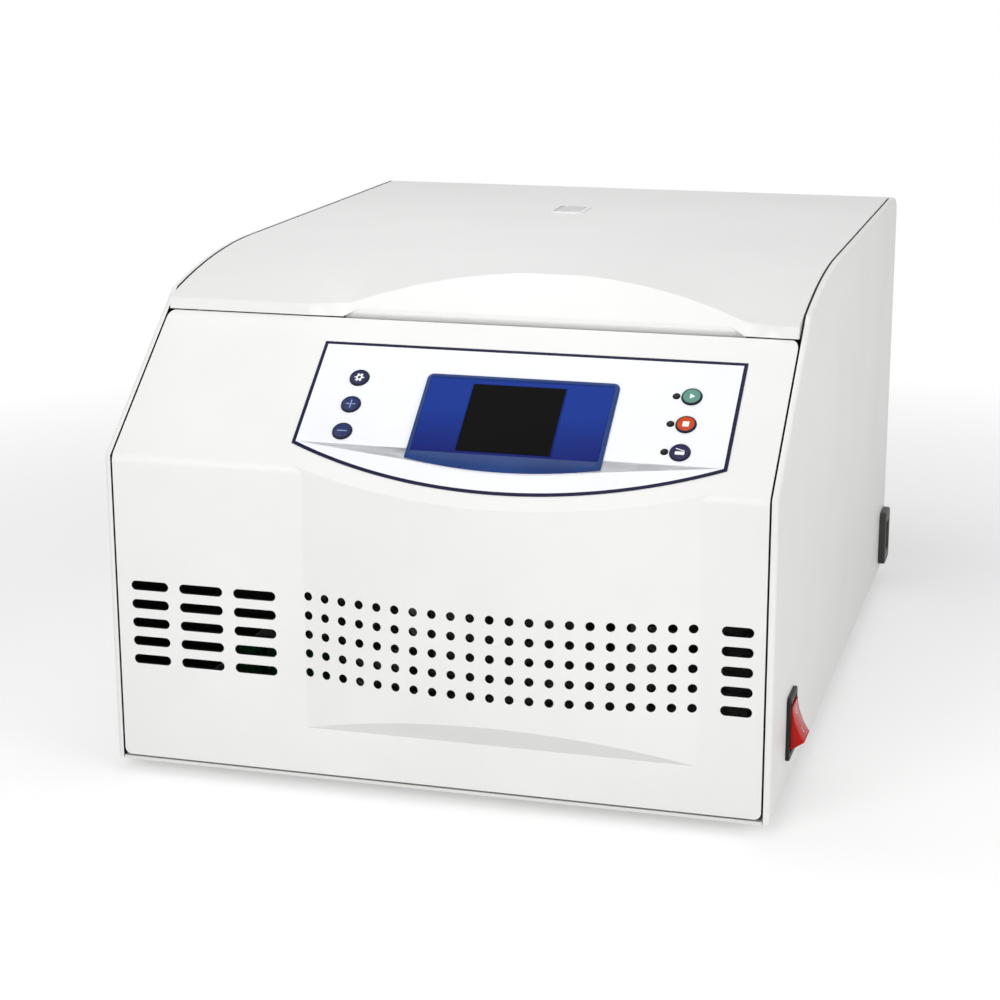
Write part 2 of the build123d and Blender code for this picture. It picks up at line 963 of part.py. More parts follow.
def lid_screw_places():
    rear = liner_rear_y() - lid_screw_rear_inset
    front = panel_top_y + liner_front_gap + lid_screw_front_inset
    wide = lid_half - lid_wall - lid_screw_side_inset
    near = [(x, front) for x in (-wide, wide)]
    return near + [(x, rear) for x in (-wide, wide, -lid_screw_middle_x, lid_screw_middle_x)]


def viewport_hole(gap):
    length = viewport_length - 2 * viewport_flange + 2 * gap
    width = viewport_width - 2 * viewport_flange + 2 * gap
    outline = Pos(viewport_x, viewport_y) * RectangleRounded(length, width, viewport_corner)
    height = case_height - liner_bottom + long_overshoot
    return Pos(0, 0, liner_bottom - overshoot) * extrude(outline, height)


def lid_liner():
    half = lid_half - lid_wall - fit_gap
    front = panel_top_y + liner_front_gap
    liner = block(-half, half, front, liner_rear_y() - fit_gap, liner_bottom, liner_top)
    liner -= viewport_hole(fit_gap)
    for x, y in lid_screw_places():
        liner -= post(screw_radius + running_gap, x, y, liner_bottom - overshoot, liner_top + overshoot)
    return liner


def window_frame():
    top = case_height + viewport_rise
    flange = Pos(viewport_x, viewport_y, case_height) * extrude(
        RectangleRounded(viewport_length, viewport_width, viewport_flange_corner), viewport_rise
    )
    length = viewport_length - 2 * viewport_flange
    width = viewport_width - 2 * viewport_flange
    sleeve = Pos(viewport_x, viewport_y, liner_bottom) * extrude(
        RectangleRounded(length, width, viewport_corner), case_height - liner_bottom
    )
    clear_length = length - 2 * viewport_wall
    clear_width = width - 2 * viewport_wall
    clear = Pos(viewport_x, viewport_y, liner_bottom - overshoot) * extrude(
        RectangleRounded(clear_length, clear_width, viewport_clear_corner),
        case_height - liner_bottom + long_overshoot,
    )
    seat = Pos(viewport_x, viewport_y, top - pane_thickness) * extrude(
        RectangleRounded(length - viewport_wall, width - viewport_wall, pane_corner),
        pane_thickness + overshoot,
    )
    return flange + sleeve - clear - seat


def lid_window():
    length = viewport_length - 2 * viewport_flange - viewport_wall - fit_gap
    width = viewport_width - 2 * viewport_flange - viewport_wall - fit_gap
    top = case_height + viewport_rise - pane_sink
    low = case_height + viewport_rise - pane_thickness
    outline = RectangleRounded(length, width, pane_corner - fit_gap / 2)
    return Pos(viewport_x, viewport_y, low) * extrude(outline, top - low)


def lid_strikers():
    hooks = []
    for sign in (-1, 1):
        x = sign * lock_x
        half = striker_thickness / 2
        y0 = lock_y - striker_width / 2
        y1 = lock_y + striker_width / 2
        hook = block(x - half, x + half, y0, y1, liner_bottom - striker_depth, liner_bottom)
        left, right = x - striker_foot_half, x + striker_foot_half
        near, far = y0 - striker_foot_margin, y1 + striker_foot_margin
        hook += block(left, right, near, far, liner_bottom - striker_foot_thickness, liner_bottom)
        hook -= rod_x(striker_hole_radius, left, right, lock_y, bolt_height)
        hooks.append(hook)
    return Compound(hooks)


def hinge_leaves():
    leaves = []
    half = knuckle_length / 2
    inner_top = case_height - lid_wall
    for sign in (-1, 1):
        x = sign * hinge_x
        leaf = rod_x(knuckle_radius, x - half, x + half, hinge_y, hinge_z)
        arm_low = hinge_z + leaf_arm_rise
        arm_high = hinge_z + knuckle_radius
        leaf += block(x - half, x + half, hinge_y - leaf_arm_length, hinge_y, arm_low, arm_high)
        wing = half + leaf_wing_margin
        wing_near = hinge_y - leaf_arm_length - leaf_wing_length
        wing_far = hinge_y - leaf_arm_length + leaf_wing_overlap
        wing_low = inner_top - leaf_thickness
        leaf += block(x - wing, x + wing, wing_near, wing_far, wing_low, inner_top)
        bore = hinge_pin_radius + running_gap
        leaf -= rod_x(bore, x - wing, x + wing, hinge_y, hinge_z)
        leaves.append(leaf)
    return Compound(leaves)


def lid_screws():
    screws = []
    for x, y in lid_screw_places():
        head = post(screw_head_radius, x, y, liner_bottom - screw_head_height, liner_bottom)
        screws.append(head + post(screw_radius, x, y, liner_bottom, liner_top + lid_screw_depth))
    return Compound(screws)


# Hinge brackets and pins, fixed to the deck
def hinge_brackets():
    brackets = []
    half = knuckle_length / 2 + fit_gap
    for sign in (-1, 1):
        x = sign * hinge_x
        outer = half + ear_thickness
        foot_y = hinge_y - bracket_foot_length
        foot_top = deck_top + bracket_foot_thickness
        bracket = block(x - outer, x + outer, foot_y, hinge_y, deck_top, foot_top)
        for low, high in ((x - outer, x - half), (x + half, x + outer)):
            bracket += block(low, high, hinge_y - bracket_ear_depth, hinge_y, deck_top, hinge_z)
            bracket += rod_x(knuckle_radius, low, high, hinge_y, hinge_z)
        left, right = x - outer - overshoot, x + outer + overshoot
        bracket -= rod_x(hinge_pin_radius, left, right, hinge_y, hinge_z)
        brackets.append(bracket)
    return Compound(brackets)


def hinge_pins():
    reach = knuckle_length / 2 + fit_gap + ear_thickness + hinge_pin_overhang
    pins = []
    for sign in (-1, 1):
        x = sign * hinge_x
        pins.append(rod_x(hinge_pin_radius, x - reach, x + reach, hinge_y, hinge_z))
    return Compound(pins)


# Lid lock
def striker_slot(x, low, high):
    """The slot that the striker drops into, longer in front for the lid's swing."""
    half = striker_thickness / 2 + striker_slot_gap
    front = lock_y - striker_width / 2 - striker_slot_front
    rear = lock_y + striker_width / 2 + striker_slot_gap
    return block(x - half, x + half, front, rear, low, high)


def lock_bodies():
    bodies = []
    top = deck_top - deck_thickness
    for sign in (-1, 1):
        x = sign * lock_x
        middle = x - sign * (lock_length / 2 - lock_outer_reach)
        low_x, high_x = middle - lock_length / 2, middle + lock_length / 2
        front = lock_y - lock_width / 2
        body = block(low_x, high_x, front, front + lock_width, top - lock_height, top)
        body -= striker_slot(x, top - lock_height + lock_floor, top + overshoot)
        inner = x - sign * lock_bore_inner
        outer = x + sign * lock_bore_outer
        left, right = min(inner, outer), max(inner, outer)
        body -= rod_x(bolt_radius + running_gap, left, right, lock_y, bolt_height)
        bodies.append(body)
    return Compound(bodies)


def bolt_tip():
    return lock_x - striker_thickness / 2 - bolt_rest_gap


def lock_bolt(sign):
    tail = bolt_tip() - bolt_length
    low, high = min(sign * tail, sign * bolt_tip()), max(sign * tail, sign * bolt_tip())
    return rod_x(bolt_radius, low, high, lock_y, bolt_height)


# Deck, bowl and guard ring
def deck_plate():
    half = inner_half - fit_gap
    front = panel_top_y + fit_gap
    rear = rear_inner_y - fit_gap
    low = deck_top - deck_thickness
    deck = block(-half, half, front, rear, low, deck_top)
    for sign in (-1, 1):
        edge = sign * half
        inner = sign * (half - deck_thickness)
        a, b = min(edge, inner), max(edge, inner)
        deck += block(a, b, front, rear, deck_top - deck_flange_height, low)
    pocket_left = bulge_x - finger_gap_half_width
    pocket_right = bulge_x + finger_gap_half_width
    back = front + pocket_length
    wall = deck_thickness
    bottom = deck_top - pocket_depth
    deck += block(pocket_left - wall, pocket_right + wall, front, back + wall, bottom - wall, low)
    over = deck_top + overshoot
    deck -= block(pocket_left, pocket_right, front + wall, back, bottom, over)
    deck -= post(bowl_radius + bowl_wall + fit_gap, 0, bowl_y, low - overshoot, over)
    for sign in (-1, 1):
        deck -= striker_slot(sign * lock_x, low - overshoot, over)
    return deck


def rotor_bowl():
    hole = boss_radius + boot_wall + fit_gap
    outer = bowl_radius + bowl_wall
    low = bowl_floor - bowl_wall
    corner = bowl_corner_radius
    rim = deck_top + bowl_wall
    edges = [
        Line((hole, bowl_floor), (bowl_radius - corner, bowl_floor)),
        RadiusArc((bowl_radius - corner, bowl_floor), (bowl_radius, bowl_floor + corner), -corner),
        Line((bowl_radius, bowl_floor + corner), (bowl_radius, rim)),
        Line((bowl_radius, rim), (outer + bowl_rim_width, rim)),
        Line((outer + bowl_rim_width, rim), (outer + bowl_rim_width, deck_top)),
        Line((outer + bowl_rim_width, deck_top), (outer, deck_top)),
        Line((outer, deck_top), (outer, bowl_floor + corner)),
        RadiusArc((outer, bowl_floor + corner), (bowl_radius - corner, low), corner + bowl_wall),
        Line((bowl_radius - corner, low), (hole, low)),
        Line((hole, low), (hole, bowl_floor)),
    ]
    return turned(make_face(edges), 0, bowl_y)


def guard_ring():
    inner = bowl_radius + bowl_wall + guard_gap
    return tube(inner, inner + guard_wall, 0, bowl_y, guard_bottom, deck_top - deck_thickness)


def bowl_gasket():
    low = deck_top + bowl_wall
    high = liner_bottom - fit_gap
    inner = bowl_radius + bowl_wall + gasket_inset
    outer = inner + gasket_width
    ring = tube(inner, outer, 0, bowl_y, low, high)
    return fillet(ring.edges().group_by(Axis.Z)[-1], gasket_edge_radius)


def shaft_boot():
    wall = boss_radius + boot_wall
    sleeve = tube(boss_radius, wall, 0, bowl_y, boss_top() - boot_overlap, bowl_floor)
    top = bowl_floor + boot_flange_height
    flange = tube(boss_radius, wall + boot_flange, 0, bowl_y, bowl_floor, top)
    return sleeve + flange


def boss_top():
    return bracket_bottom + bracket_thickness + shield_thickness + boss_rise


# Motor
def motor_housing():
    low = motor_bottom
    housing = post(motor_radius, 0, bowl_y, low, bracket_bottom)
    inner = motor_radius - motor_wall
    housing -= post(inner, 0, bowl_y, low + motor_floor, bracket_bottom + overshoot)
    seat_top = low + motor_floor + bearing_height
    housing += tube(bearing_radius, boss_radius, 0, bowl_y, low + motor_floor, seat_top)
    root = motor_radius - overshoot
    tip = motor_radius + fin_height
    half = fin_thickness / 2
    fin = block(root, tip, -half, half, low + fin_inset, bracket_bottom - fin_inset)
    for i in range(fin_count):
        housing += Pos(0, bowl_y, 0) * Rot(0, 0, 360 * i / fin_count) * fin
    return housing


def motor_bracket():
    half = bracket_size / 2
    low = bracket_bottom
    plate = block(-half, half, bowl_y - half, bowl_y + half, low, low + bracket_thickness)
    plate = fillet(plate.edges().filter_by(Axis.Z), bracket_corner_radius)
    high = low + bracket_thickness + overshoot
    return plate - post(motor_radius - motor_wall, 0, bowl_y, low - overshoot, high)


def rubber_isolators():
    pads = [post(isolator_radius, x, y, post_height, bracket_bottom) for x, y in post_places()]
    return Compound(pads)


def motor_top_shield():
    low = bracket_bottom + bracket_thickness
    shield = post(motor_radius + fin_height, 0, bowl_y, low, low + shield_thickness)
    shield += post(boss_radius, 0, bowl_y, low, boss_top())
    bore = shaft_core_radius + shield_bore_gap
    shield -= post(bore, 0, bowl_y, low - overshoot, boss_top() + overshoot)
    return shield - post(bearing_radius, 0, bowl_y, low - overshoot, low + bearing_height)


def stator_core():
    outer = motor_radius - motor_wall
    return tube(stator_bore, outer, 0, bowl_y, stator_bottom, stator_bottom + stator_height)


def stator_windings():
    inner = stator_bore + winding_inner_inset
    outer = motor_radius - motor_wall - winding_outer_inset
    top = stator_bottom + stator_height
    rings = [
        tube(inner, outer, 0, bowl_y, stator_bottom - winding_height, stator_bottom),
        tube(inner, outer, 0, bowl_y, top, top + winding_height),
    ]
    return Compound(rings)


def lower_bearing_z():
    return motor_bottom + motor_floor


def upper_bearing_z():
    return bracket_bottom + bracket_thickness


def motor_bearings():
    bore = shaft_radius + running_gap
    rings = [
        tube(bore, bearing_radius, 0, bowl_y, z, z + bearing_height)
        for z in (lower_bearing_z(), upper_bearing_z())
    ]
    return Compound(rings)


def motor_shaft():
    top = trunnion_height + yoke_height / 2 + nut_height
    foot = lower_bearing_z() + shaft_end_gap
    low_shoulder = lower_bearing_z() + bearing_height + shaft_end_gap
    high_shoulder = upper_bearing_z() - shaft_end_gap
    shaft = post(shaft_radius, 0, bowl_y, foot, low_shoulder)
    shaft += post(shaft_core_radius, 0, bowl_y, low_shoulder, high_shoulder)
    shaft += post(shaft_radius, 0, bowl_y, high_shoulder, yoke_seat_z())
    shaft += post(shaft_nose_radius, 0, bowl_y, yoke_seat_z(), top)
    return shaft


def yoke_seat_z():
    return trunnion_height - yoke_height / 2 - yoke_hub_drop


def motor_rotor():
    outer = stator_bore - air_gap
    return tube(shaft_core_radius, outer, 0, bowl_y, stator_bottom, stator_bottom + stator_height)


# Swing-out rotor
def rotor_yoke():
    low = trunnion_height - yoke_height / 2
    plan = Circle(yoke_hub_radius)
    for turn in (45, 135, 225, 315):
        arm = Pos(yoke_head_radius / 2, 0) * Rectangle(yoke_head_radius, yoke_arm_width)
        head = Pos(yoke_head_radius, 0) * Rectangle(yoke_head_width, yoke_head_length)
        plan += Rot(0, 0, turn) * (arm + fillet(head.vertices(), yoke_corner_radius))
    yoke = Pos(0, 0, low) * extrude(plan, yoke_height)
    yoke += post(yoke_hub_radius, 0, 0, yoke_seat_z(), low)
    yoke -= post(shaft_nose_radius, 0, 0, yoke_seat_z() - overshoot, low + yoke_height + overshoot)
    start = bucket_radius + pin_bucket_gap
    end = (yoke_head_radius - yoke_head_length / 2) / sqrt(2) + pin_root
    for turn in (0, 90, 180, 270):
        for x0, x1 in ((start, end), (-end, -start)):
            pin = rod_x(trunnion_pin_radius, x0, x1, trunnion_radius, trunnion_height)
            yoke += Rot(0, 0, turn) * pin
    return Pos(0, bowl_y, 0) * yoke


def rotor_nut():
    low = trunnion_height + yoke_height / 2
    plan = RegularPolygon(nut_radius, 6)
    nut = Pos(0, bowl_y, low) * extrude(plan, nut_height - nut_cap_overlap)
    cap_low = low + nut_height - nut_cap_overlap
    nut += post(nut_cap_radius, 0, bowl_y, cap_low, cap_low + nut_cap_height)
    return nut - post(shaft_nose_radius, 0, bowl_y, low - overshoot, low + nut_height)


def bucket(turn):
    top = trunnion_height + bucket_above
    low = trunnion_height - bucket_below
    y = trunnion_radius
    cup = post(bucket_radius, 0, y, low, top)
    cup = fillet(cup.edges().sort_by(Axis.Z)[0], bucket_edge_radius)
    for sign in (-1, 1):
        x0 = sign * (bucket_radius - ear_root)
        x1 = sign * (bucket_radius + bucket_ear)
        ear = block(
            min(x0, x1),
            max(x0, x1),
            y - bucket_ear_width / 2,
            y + bucket_ear_width / 2,
            trunnion_height - ear_below,
            trunnion_height + ear_above,
        )
        cup += ear
    reach = bucket_radius + bucket_ear + overshoot
    gap = trunnion_pin_radius + running_gap
    seat = bucket_radius + ear_seat_gap
    under = trunnion_height - ear_below - overshoot
    for x0, x1 in ((seat, reach), (-reach, -seat)):
        cup -= rod_x(gap, x0, x1, y, trunnion_height)
        cup -= block(x0, x1, y - gap, y + gap, under, trunnion_height)
    for side in (-1, 1):
        x = side * tube_bore_spacing / 2
        cup -= post(tube_bore_radius, x, y, low + bucket_floor, top + overshoot)
    return Pos(0, bowl_y, 0) * Rot(0, 0, turn) * cup


# Power switch on the right side
def rocker_axis_x():
    return case_half + switch_bezel_rise - rocker_axis_depth


def switch_bezel():
    face = case_half + switch_bezel_rise
    half_y = switch_bezel_width / 2
    half_z = switch_bezel_height / 2
    frame = block(
        case_half, face, switch_y - half_y, switch_y + half_y, switch_z - half_z, switch_z + half_z
    )
    frame = fillet(frame.edges().filter_by(Axis.X), side_frame_radius)
    body_y = half_y - switch_margin_y
    body_z = half_z - switch_margin_z
    body = block(
        case_half - switch_body_depth,
        case_half,
        switch_y - body_y,
        switch_y + body_y,
        switch_z - body_z,
        switch_z + body_z,
    )
    swing = rocker_swing() + rocker_gap
    wide = rocker_width / 2 + rocker_gap
    well = block(
        case_half - switch_body_depth + switch_body_floor,
        face + overshoot,
        switch_y - wide,
        switch_y + wide,
        switch_z - swing,
        switch_z + swing,
    )
    pivot = rod_y(
        rocker_pin_radius + running_gap,
        rocker_axis_x(),
        switch_y - wide - rocker_pin_reach,
        switch_y + wide + rocker_pin_reach,
        switch_z,
    )
    return frame + body - well - pivot


def rocker_swing():
    return sqrt(rocker_half_height**2 + rocker_reach**2)


def power_rocker():
    half_height, base = rocker_half_height, rocker_base_half
    tail = half_height - rocker_taper
    edges = [
        ThreePointArc((rocker_reach, -half_height), (rocker_waist, 0), (rocker_reach, half_height)),
        Line((rocker_reach, half_height), (-rocker_base_back, base)),
        Line((-rocker_base_back, base), (-rocker_back, tail)),
        Line((-rocker_back, tail), (-rocker_back, -tail)),
        Line((-rocker_back, -tail), (-rocker_base_back, -base)),
        Line((-rocker_base_back, -base), (rocker_reach, -half_height)),
    ]
    outline = make_face(edges)
    half = rocker_width / 2
    paddle = Pos(0, half, 0) * extrude(Plane.XZ * outline, rocker_width)
    paddle += rod_y(rocker_pin_radius, 0, -half - rocker_pin_reach, half + rocker_pin_reach, 0)
    return Pos(rocker_axis_x(), switch_y, switch_z) * Rot(0, -rocker_tilt, 0) * paddle


# Mains inlet on the right side
def power_inlet():
    half_y = inlet_width / 2
    half_z = inlet_height / 2
    face = case_half + inlet_rise
    frame = block(
        case_half, face, inlet_y - half_y, inlet_y + half_y, inlet_z - half_z, inlet_z + half_z
    )
    frame = fillet(frame.edges().filter_by(Axis.X), inlet_corner_radius)
    body_y = half_y - inlet_margin_y
    body_z = half_z - inlet_margin_z
    body = block(
        face - inlet_depth,
        case_half,
        inlet_y - body_y,
        inlet_y + body_y,
        inlet_z - body_z,
        inlet_z + body_z,
    )
    socket_y = socket_width / 2
    socket_z = socket_height / 2
    socket = block(
        face - socket_depth,
        face + overshoot,
        inlet_y - socket_y,
        inlet_y + socket_y,
        inlet_z - socket_z,
        inlet_z + socket_z,
    )
    housing = frame + body - socket
    for y, z in inlet_pin_places():
        housing -= inlet_pin(y, z, running_gap)
    return housing


def inlet_pin_places():
    return [
        (inlet_y - inlet_pin_offset, inlet_z - inlet_pin_spread),
        (inlet_y - inlet_pin_offset, inlet_z + inlet_pin_spread),
        (inlet_y + inlet_pin_offset, inlet_z),
    ]


def inlet_pin(y, z, gap):
    root = case_half + inlet_rise - inlet_depth
    tip = case_half + inlet_rise - socket_depth + inlet_pin_length
    half_y = inlet_pin_width / 2 + gap
    half_z = inlet_pin_thickness / 2 + gap
    return block(root - inlet_pin_tail, tip, y - half_y, y + half_y, z - half_z, z + half_z)


def inlet_pins():
    return Compound([inlet_pin(y, z, 0) for y, z in inlet_pin_places()])


def cover_opening(y, z, half_y, half_z):
    """Cuts a rectangular opening through the right cover."""
    wide, high = half_y + fit_gap, half_z + fit_gap
    left, right = inner_half - overshoot, case_half + overshoot
    return block(left, right, y - wide, y + wide, z - high, z + high)


def right_side_cover():
    switch_half_y = switch_bezel_width / 2 - switch_margin_y
    switch_half_z = switch_bezel_height / 2 - switch_margin_z
    inlet_half_y = inlet_width / 2 - inlet_margin_y
    inlet_half_z = inlet_height / 2 - inlet_margin_z
    cover = side_cover() - cover_opening(switch_y, switch_z, switch_half_y, switch_half_z)
    return cover - cover_opening(inlet_y, inlet_z, inlet_half_y, inlet_half_z)


# Cooling fan behind the rear panel
def fan_front_y():
    return rear_inner_y - fan_thickness


def fan_housing():
    half = fan_size / 2
    front = fan_front_y()
    housing = block(fan_x - half, fan_x + half, front, rear_inner_y, fan_z - half, fan_z + half)
    housing = fillet(housing.edges().filter_by(Axis.Y), fan_corner_radius)
    near, far = front - overshoot, rear_inner_y + overshoot
    housing -= rod_y(fan_bore_radius, fan_x, near, far, fan_z)
    spider_back = front + spider_thickness
    spider = rod_y(fan_hub_radius, fan_x, front, spider_back, fan_z)
    inner, outer = fan_hub_radius - overshoot, fan_bore_radius + overshoot
    half = strut_width / 2
    strut = block(inner, outer, 0, spider_thickness, -half, half)
    for i in range(strut_count):
        turn = strut_first_turn + 360 * i / strut_count
        spider += Pos(fan_x, front, fan_z) * Rot(0, turn, 0) * strut
    spider -= rod_y(fan_pin_radius + running_gap, fan_x, near, spider_back + overshoot, fan_z)
    for x, z in fan_screw_places():
        housing -= rod_y(screw_radius + running_gap, x, near, far, z)
    return housing + spider


def fan_impeller():
    front = fan_front_y() + spider_thickness + fan_front_gap
    back = rear_inner_y - fan_rear_gap
    hub = rod_y(fan_hub_radius, 0, front, back, 0)
    hub += rod_y(fan_pin_radius, 0, fan_front_y(), front, 0)
    reach = fan_bore_radius - fan_blade_gap
    thick, wide = fan_blade_thickness / 2, fan_blade_width / 2
    blade = block(fan_hub_radius - 2 * overshoot, reach, -thick, thick, -wide, wide)
    blade = Pos(0, (front + back) / 2, 0) * Rot(fan_blade_angle, 0, 0) * blade
    for i in range(fan_blades):
        hub += Rot(0, 360.0 * i / fan_blades, 0) * blade
    hub = hub & rod_y(reach, 0, fan_front_y() - overshoot, back, 0)
    return Pos(fan_x, 0, fan_z) * hub


# Power board on the base
def power_board():
    half_x = power_board_length / 2
    half_y = power_board_width / 2
    low = base_thickness + power_board_lift
    top = low + board_thickness
    x, y = power_board_x, power_board_y
    board = block(x - half_x, x + half_x, y - half_y, y + half_y, low, top)
    for i in range(capacitor_count):
        at_x = x + capacitor_first_x + capacitor_pitch * i
        board += post(capacitor_radius, at_x, y + capacitor_y, top, top + capacitor_height)
    for left, right, near, far, height in board_boxes:
        board += block(x + left, x + right, y + near, y + far, top, top + height)
    return board


def board_heat_sink():
    low = base_thickness + power_board_lift + board_thickness
    high = low + sink_height
    x = power_board_x + sink_x
    y = power_board_y + sink_y
    sink = block(x, x + sink_length, y, y + sink_plate, low, high)
    root = y + sink_plate
    for i in range(sink_fins):
        fin_x = x + sink_fin_pitch * i
        sink += block(fin_x, fin_x + sink_fin_thickness, root, root + sink_fin_depth, low, high)
    return sink


parts["base_plate"] = base_plate()
parts["left_side_cover"] = mirror(side_cover(), Plane.YZ)
parts["right_side_cover"] = right_side_cover()
parts["rear_panel"] = rear_panel()
parts["front_panel"] = front_panel()
parts["deck_plate"] = deck_plate()
parts["key_overlay"] = key_overlay()
parts["display_bezel"] = display_bezel()
parts["display_screen"] = display_screen()
parts["control_board"] = control_board()
parts["status_leds"] = status_leds()
parts["board_standoffs"] = board_standoffs()
parts["rotor_bowl"] = rotor_bowl()
parts["guard_ring"] = guard_ring()
parts["bowl_gasket"] = bowl_gasket()
parts["shaft_boot"] = shaft_boot()
parts["motor_housing"] = motor_housing()
parts["motor_top_shield"] = motor_top_shield()
parts["stator_core"] = stator_core()
parts["stator_windings"] = stator_windings()
parts["motor_bearings"] = motor_bearings()
parts["motor_bracket"] = motor_bracket()
parts["rubber_isolators"] = rubber_isolators()
parts["power_board"] = power_board()
parts["board_heat_sink"] = board_heat_sink()
parts["power_inlet"] = power_inlet()
parts["inlet_pins"] = inlet_pins()
parts["switch_bezel"] = switch_bezel()
parts["fan_housing"] = fan_housing()
parts["lock_bodies"] = lock_bodies()
parts["hinge_brackets"] = hinge_brackets()
parts["hinge_pins"] = hinge_pins()
parts["feet"] = feet()
parts["case_screws"] = case_screws()
parts["lid_shell"] = lid_shell()
parts["lid_liner"] = lid_liner()
parts["lid_window"] = lid_window()
parts["window_frame"] = window_frame()
parts["lid_strikers"] = lid_strikers()
parts["hinge_leaves"] = hinge_leaves()
parts["lid_screws"] = lid_screws()
parts["motor_shaft"] = motor_shaft()
parts["motor_rotor"] = motor_rotor()
parts["rotor_yoke"] = rotor_yoke()
parts["rotor_nut"] = rotor_nut()
for number, turn in enumerate((0, 90, 180, 270), start=1):
    parts[f"bucket_{number}"] = bucket(turn)
key_names = ["settings_key", "plus_key", "minus_key", "start_key", "stop_key", "lid_key"]
for name, (x, s) in zip(key_names, key_places()):
    parts[name] = key(x, s)
parts["power_rocker"] = power_rocker()
parts["fan_impeller"] = fan_impeller()
parts["lock_bolt_left"] = lock_bolt(-1)
parts["lock_bolt_right"] = lock_bolt(1)

# Origin on the bench, under the middle of the whole object
boxes = [shape.bounding_box() for shape in parts.values()]
middle_x = (min(b.min.X for b in boxes) + max(b.max.X for b in boxes)) / 2
middle_y = (min(b.min.Y for b in boxes) + max(b.max.Y for b in boxes)) / 2
to_bench = Pos(-middle_x, -middle_y, foot_height)
for name, shape in parts.items():
    export_step(to_bench * shape, f"parts/{name}.step")
print("origin moved by", -middle_x, -middle_y, foot_height)
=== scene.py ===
"""Milk fat testing centrifuge: looks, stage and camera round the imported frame."""
from contextlib import contextmanager
from math import atan2, pi, radians

import bmesh
import bpy
from mathutils import Matrix, Vector


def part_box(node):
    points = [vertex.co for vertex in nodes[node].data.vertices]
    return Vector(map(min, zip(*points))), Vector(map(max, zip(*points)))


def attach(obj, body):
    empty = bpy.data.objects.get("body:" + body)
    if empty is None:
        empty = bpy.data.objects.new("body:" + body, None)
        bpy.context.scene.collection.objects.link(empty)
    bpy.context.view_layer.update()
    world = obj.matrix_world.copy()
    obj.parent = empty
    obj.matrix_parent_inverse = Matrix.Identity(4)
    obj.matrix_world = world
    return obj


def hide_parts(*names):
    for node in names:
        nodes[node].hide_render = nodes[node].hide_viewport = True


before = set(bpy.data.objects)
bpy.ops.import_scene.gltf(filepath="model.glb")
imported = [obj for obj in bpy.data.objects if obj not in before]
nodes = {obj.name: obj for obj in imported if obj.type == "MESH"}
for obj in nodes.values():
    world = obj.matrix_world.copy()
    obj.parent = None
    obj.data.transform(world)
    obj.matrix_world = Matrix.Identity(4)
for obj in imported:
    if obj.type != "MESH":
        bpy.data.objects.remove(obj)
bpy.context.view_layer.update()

# Sizes in millimetres. The case's own origin is the middle of its front edge, on its underside.
CASE_HALF = 215.5
CASE_DEPTH = 582.0
COVER_INSIDE = 211.2
PANEL_WALL = 3.0
CONSOLE_BEND_Z = 204.3
CONSOLE_SLOPE = radians(38.0)
BOWL_Y = 326.0
# A hair's room, so that no two faces lie in one plane
HAIR = 0.05
# How far a corner may lie from the level that it is picked by
SLACK = 0.02
# A CAD mesh's corners merge below this distance, and its triangles below this angle
MERGE_DISTANCE = 0.005
MERGE_ANGLE = radians(0.4)

# Console, drawn flat: x across, s up the incline, n out of it
FILM = {"left": -94.0, "right": 181.5, "bottom": 19.6, "top": 104.0, "sag": 29.6}
FILM_THICKNESS = 0.5
FILM_BORDER = 2.3
SURROUND = {"left": -18.5, "right": 105.5, "bottom": 13.6, "top": 81.0, "sag": 6.7}
SURROUND_TOP = 1.8
SURROUND_CORNER = 4.0
WINDOW_GAP = 0.1
WELL_MARGIN = 2.6
WELL_BOTTOM = 19.0
WELL_FLOOR = 1.3
WELL_EDGE = 0.35
GLASS = (12.5, 73.3, 21.0, 74.7)
GLASS_TOP = 2.0
GLASS_GAP = 0.1
GLASS_EDGE = 0.6
MODULE_MARGIN = 6.0
MODULE_DEPTH = 9.0
# Painted light in the display's well: its lacquer goes from darker to lighter between these heights
# above the case's underside
PAINTED_LIGHT_SPAN = (214.0, 252.0)

# Keys and status lamps
KEY_ROWS = (74.6, 52.7, 30.9)
LEFT_KEYS_X = -63.4
RIGHT_KEYS_X = 151.1
KEY_RADIUS = 6.35
KEY_GAP = 0.25
KEY_TOP = 1.6
KEY_EDGE = 0.4
KEY_RING = 0.6
KEY_SLOPE = 0.4
KEY_DISH = 0.2
FLANGE_RADIUS = 7.8
FLANGE_THICKNESS = 1.5
STEM_RADIUS = 2.0
STEM_LENGTH = 5.0
LAMP_X = 141.5
LAMP_RADIUS = 2.2
LAMP_GAP = 0.3
LAMP_TOP = 0.7
LAMP_EDGE = 0.5
LAMP_STEM_SHARE = 0.68
LAMP_STEM = 11.4

# Signs, printed thick enough to stand out of the face that they sink into
SIGN_THICKNESS = 0.1
SIGN_SUNK = 0.04
STROKE_LENGTH = 6.4
STROKE_WIDTH = 0.75
GEAR_TEETH = 6
GEAR_ROOT = 2.2
GEAR_TOOTH = 1.0
GEAR_RING = 1.15
PLAY_RADIUS = 2.3
PLAY_EDGE = 0.35
STOP_HALF = 2.0
STOP_EDGE = 0.3
# The box of the lid's sign: left, right, bottom and top; and the lid over it
BOX = (-2.9, 2.9, -2.1, 0.4)
BOX_EDGE = 0.45
BOX_LID = {"length": 6.0, "width": 0.6, "turn": -17.0, "rise": 1.75}

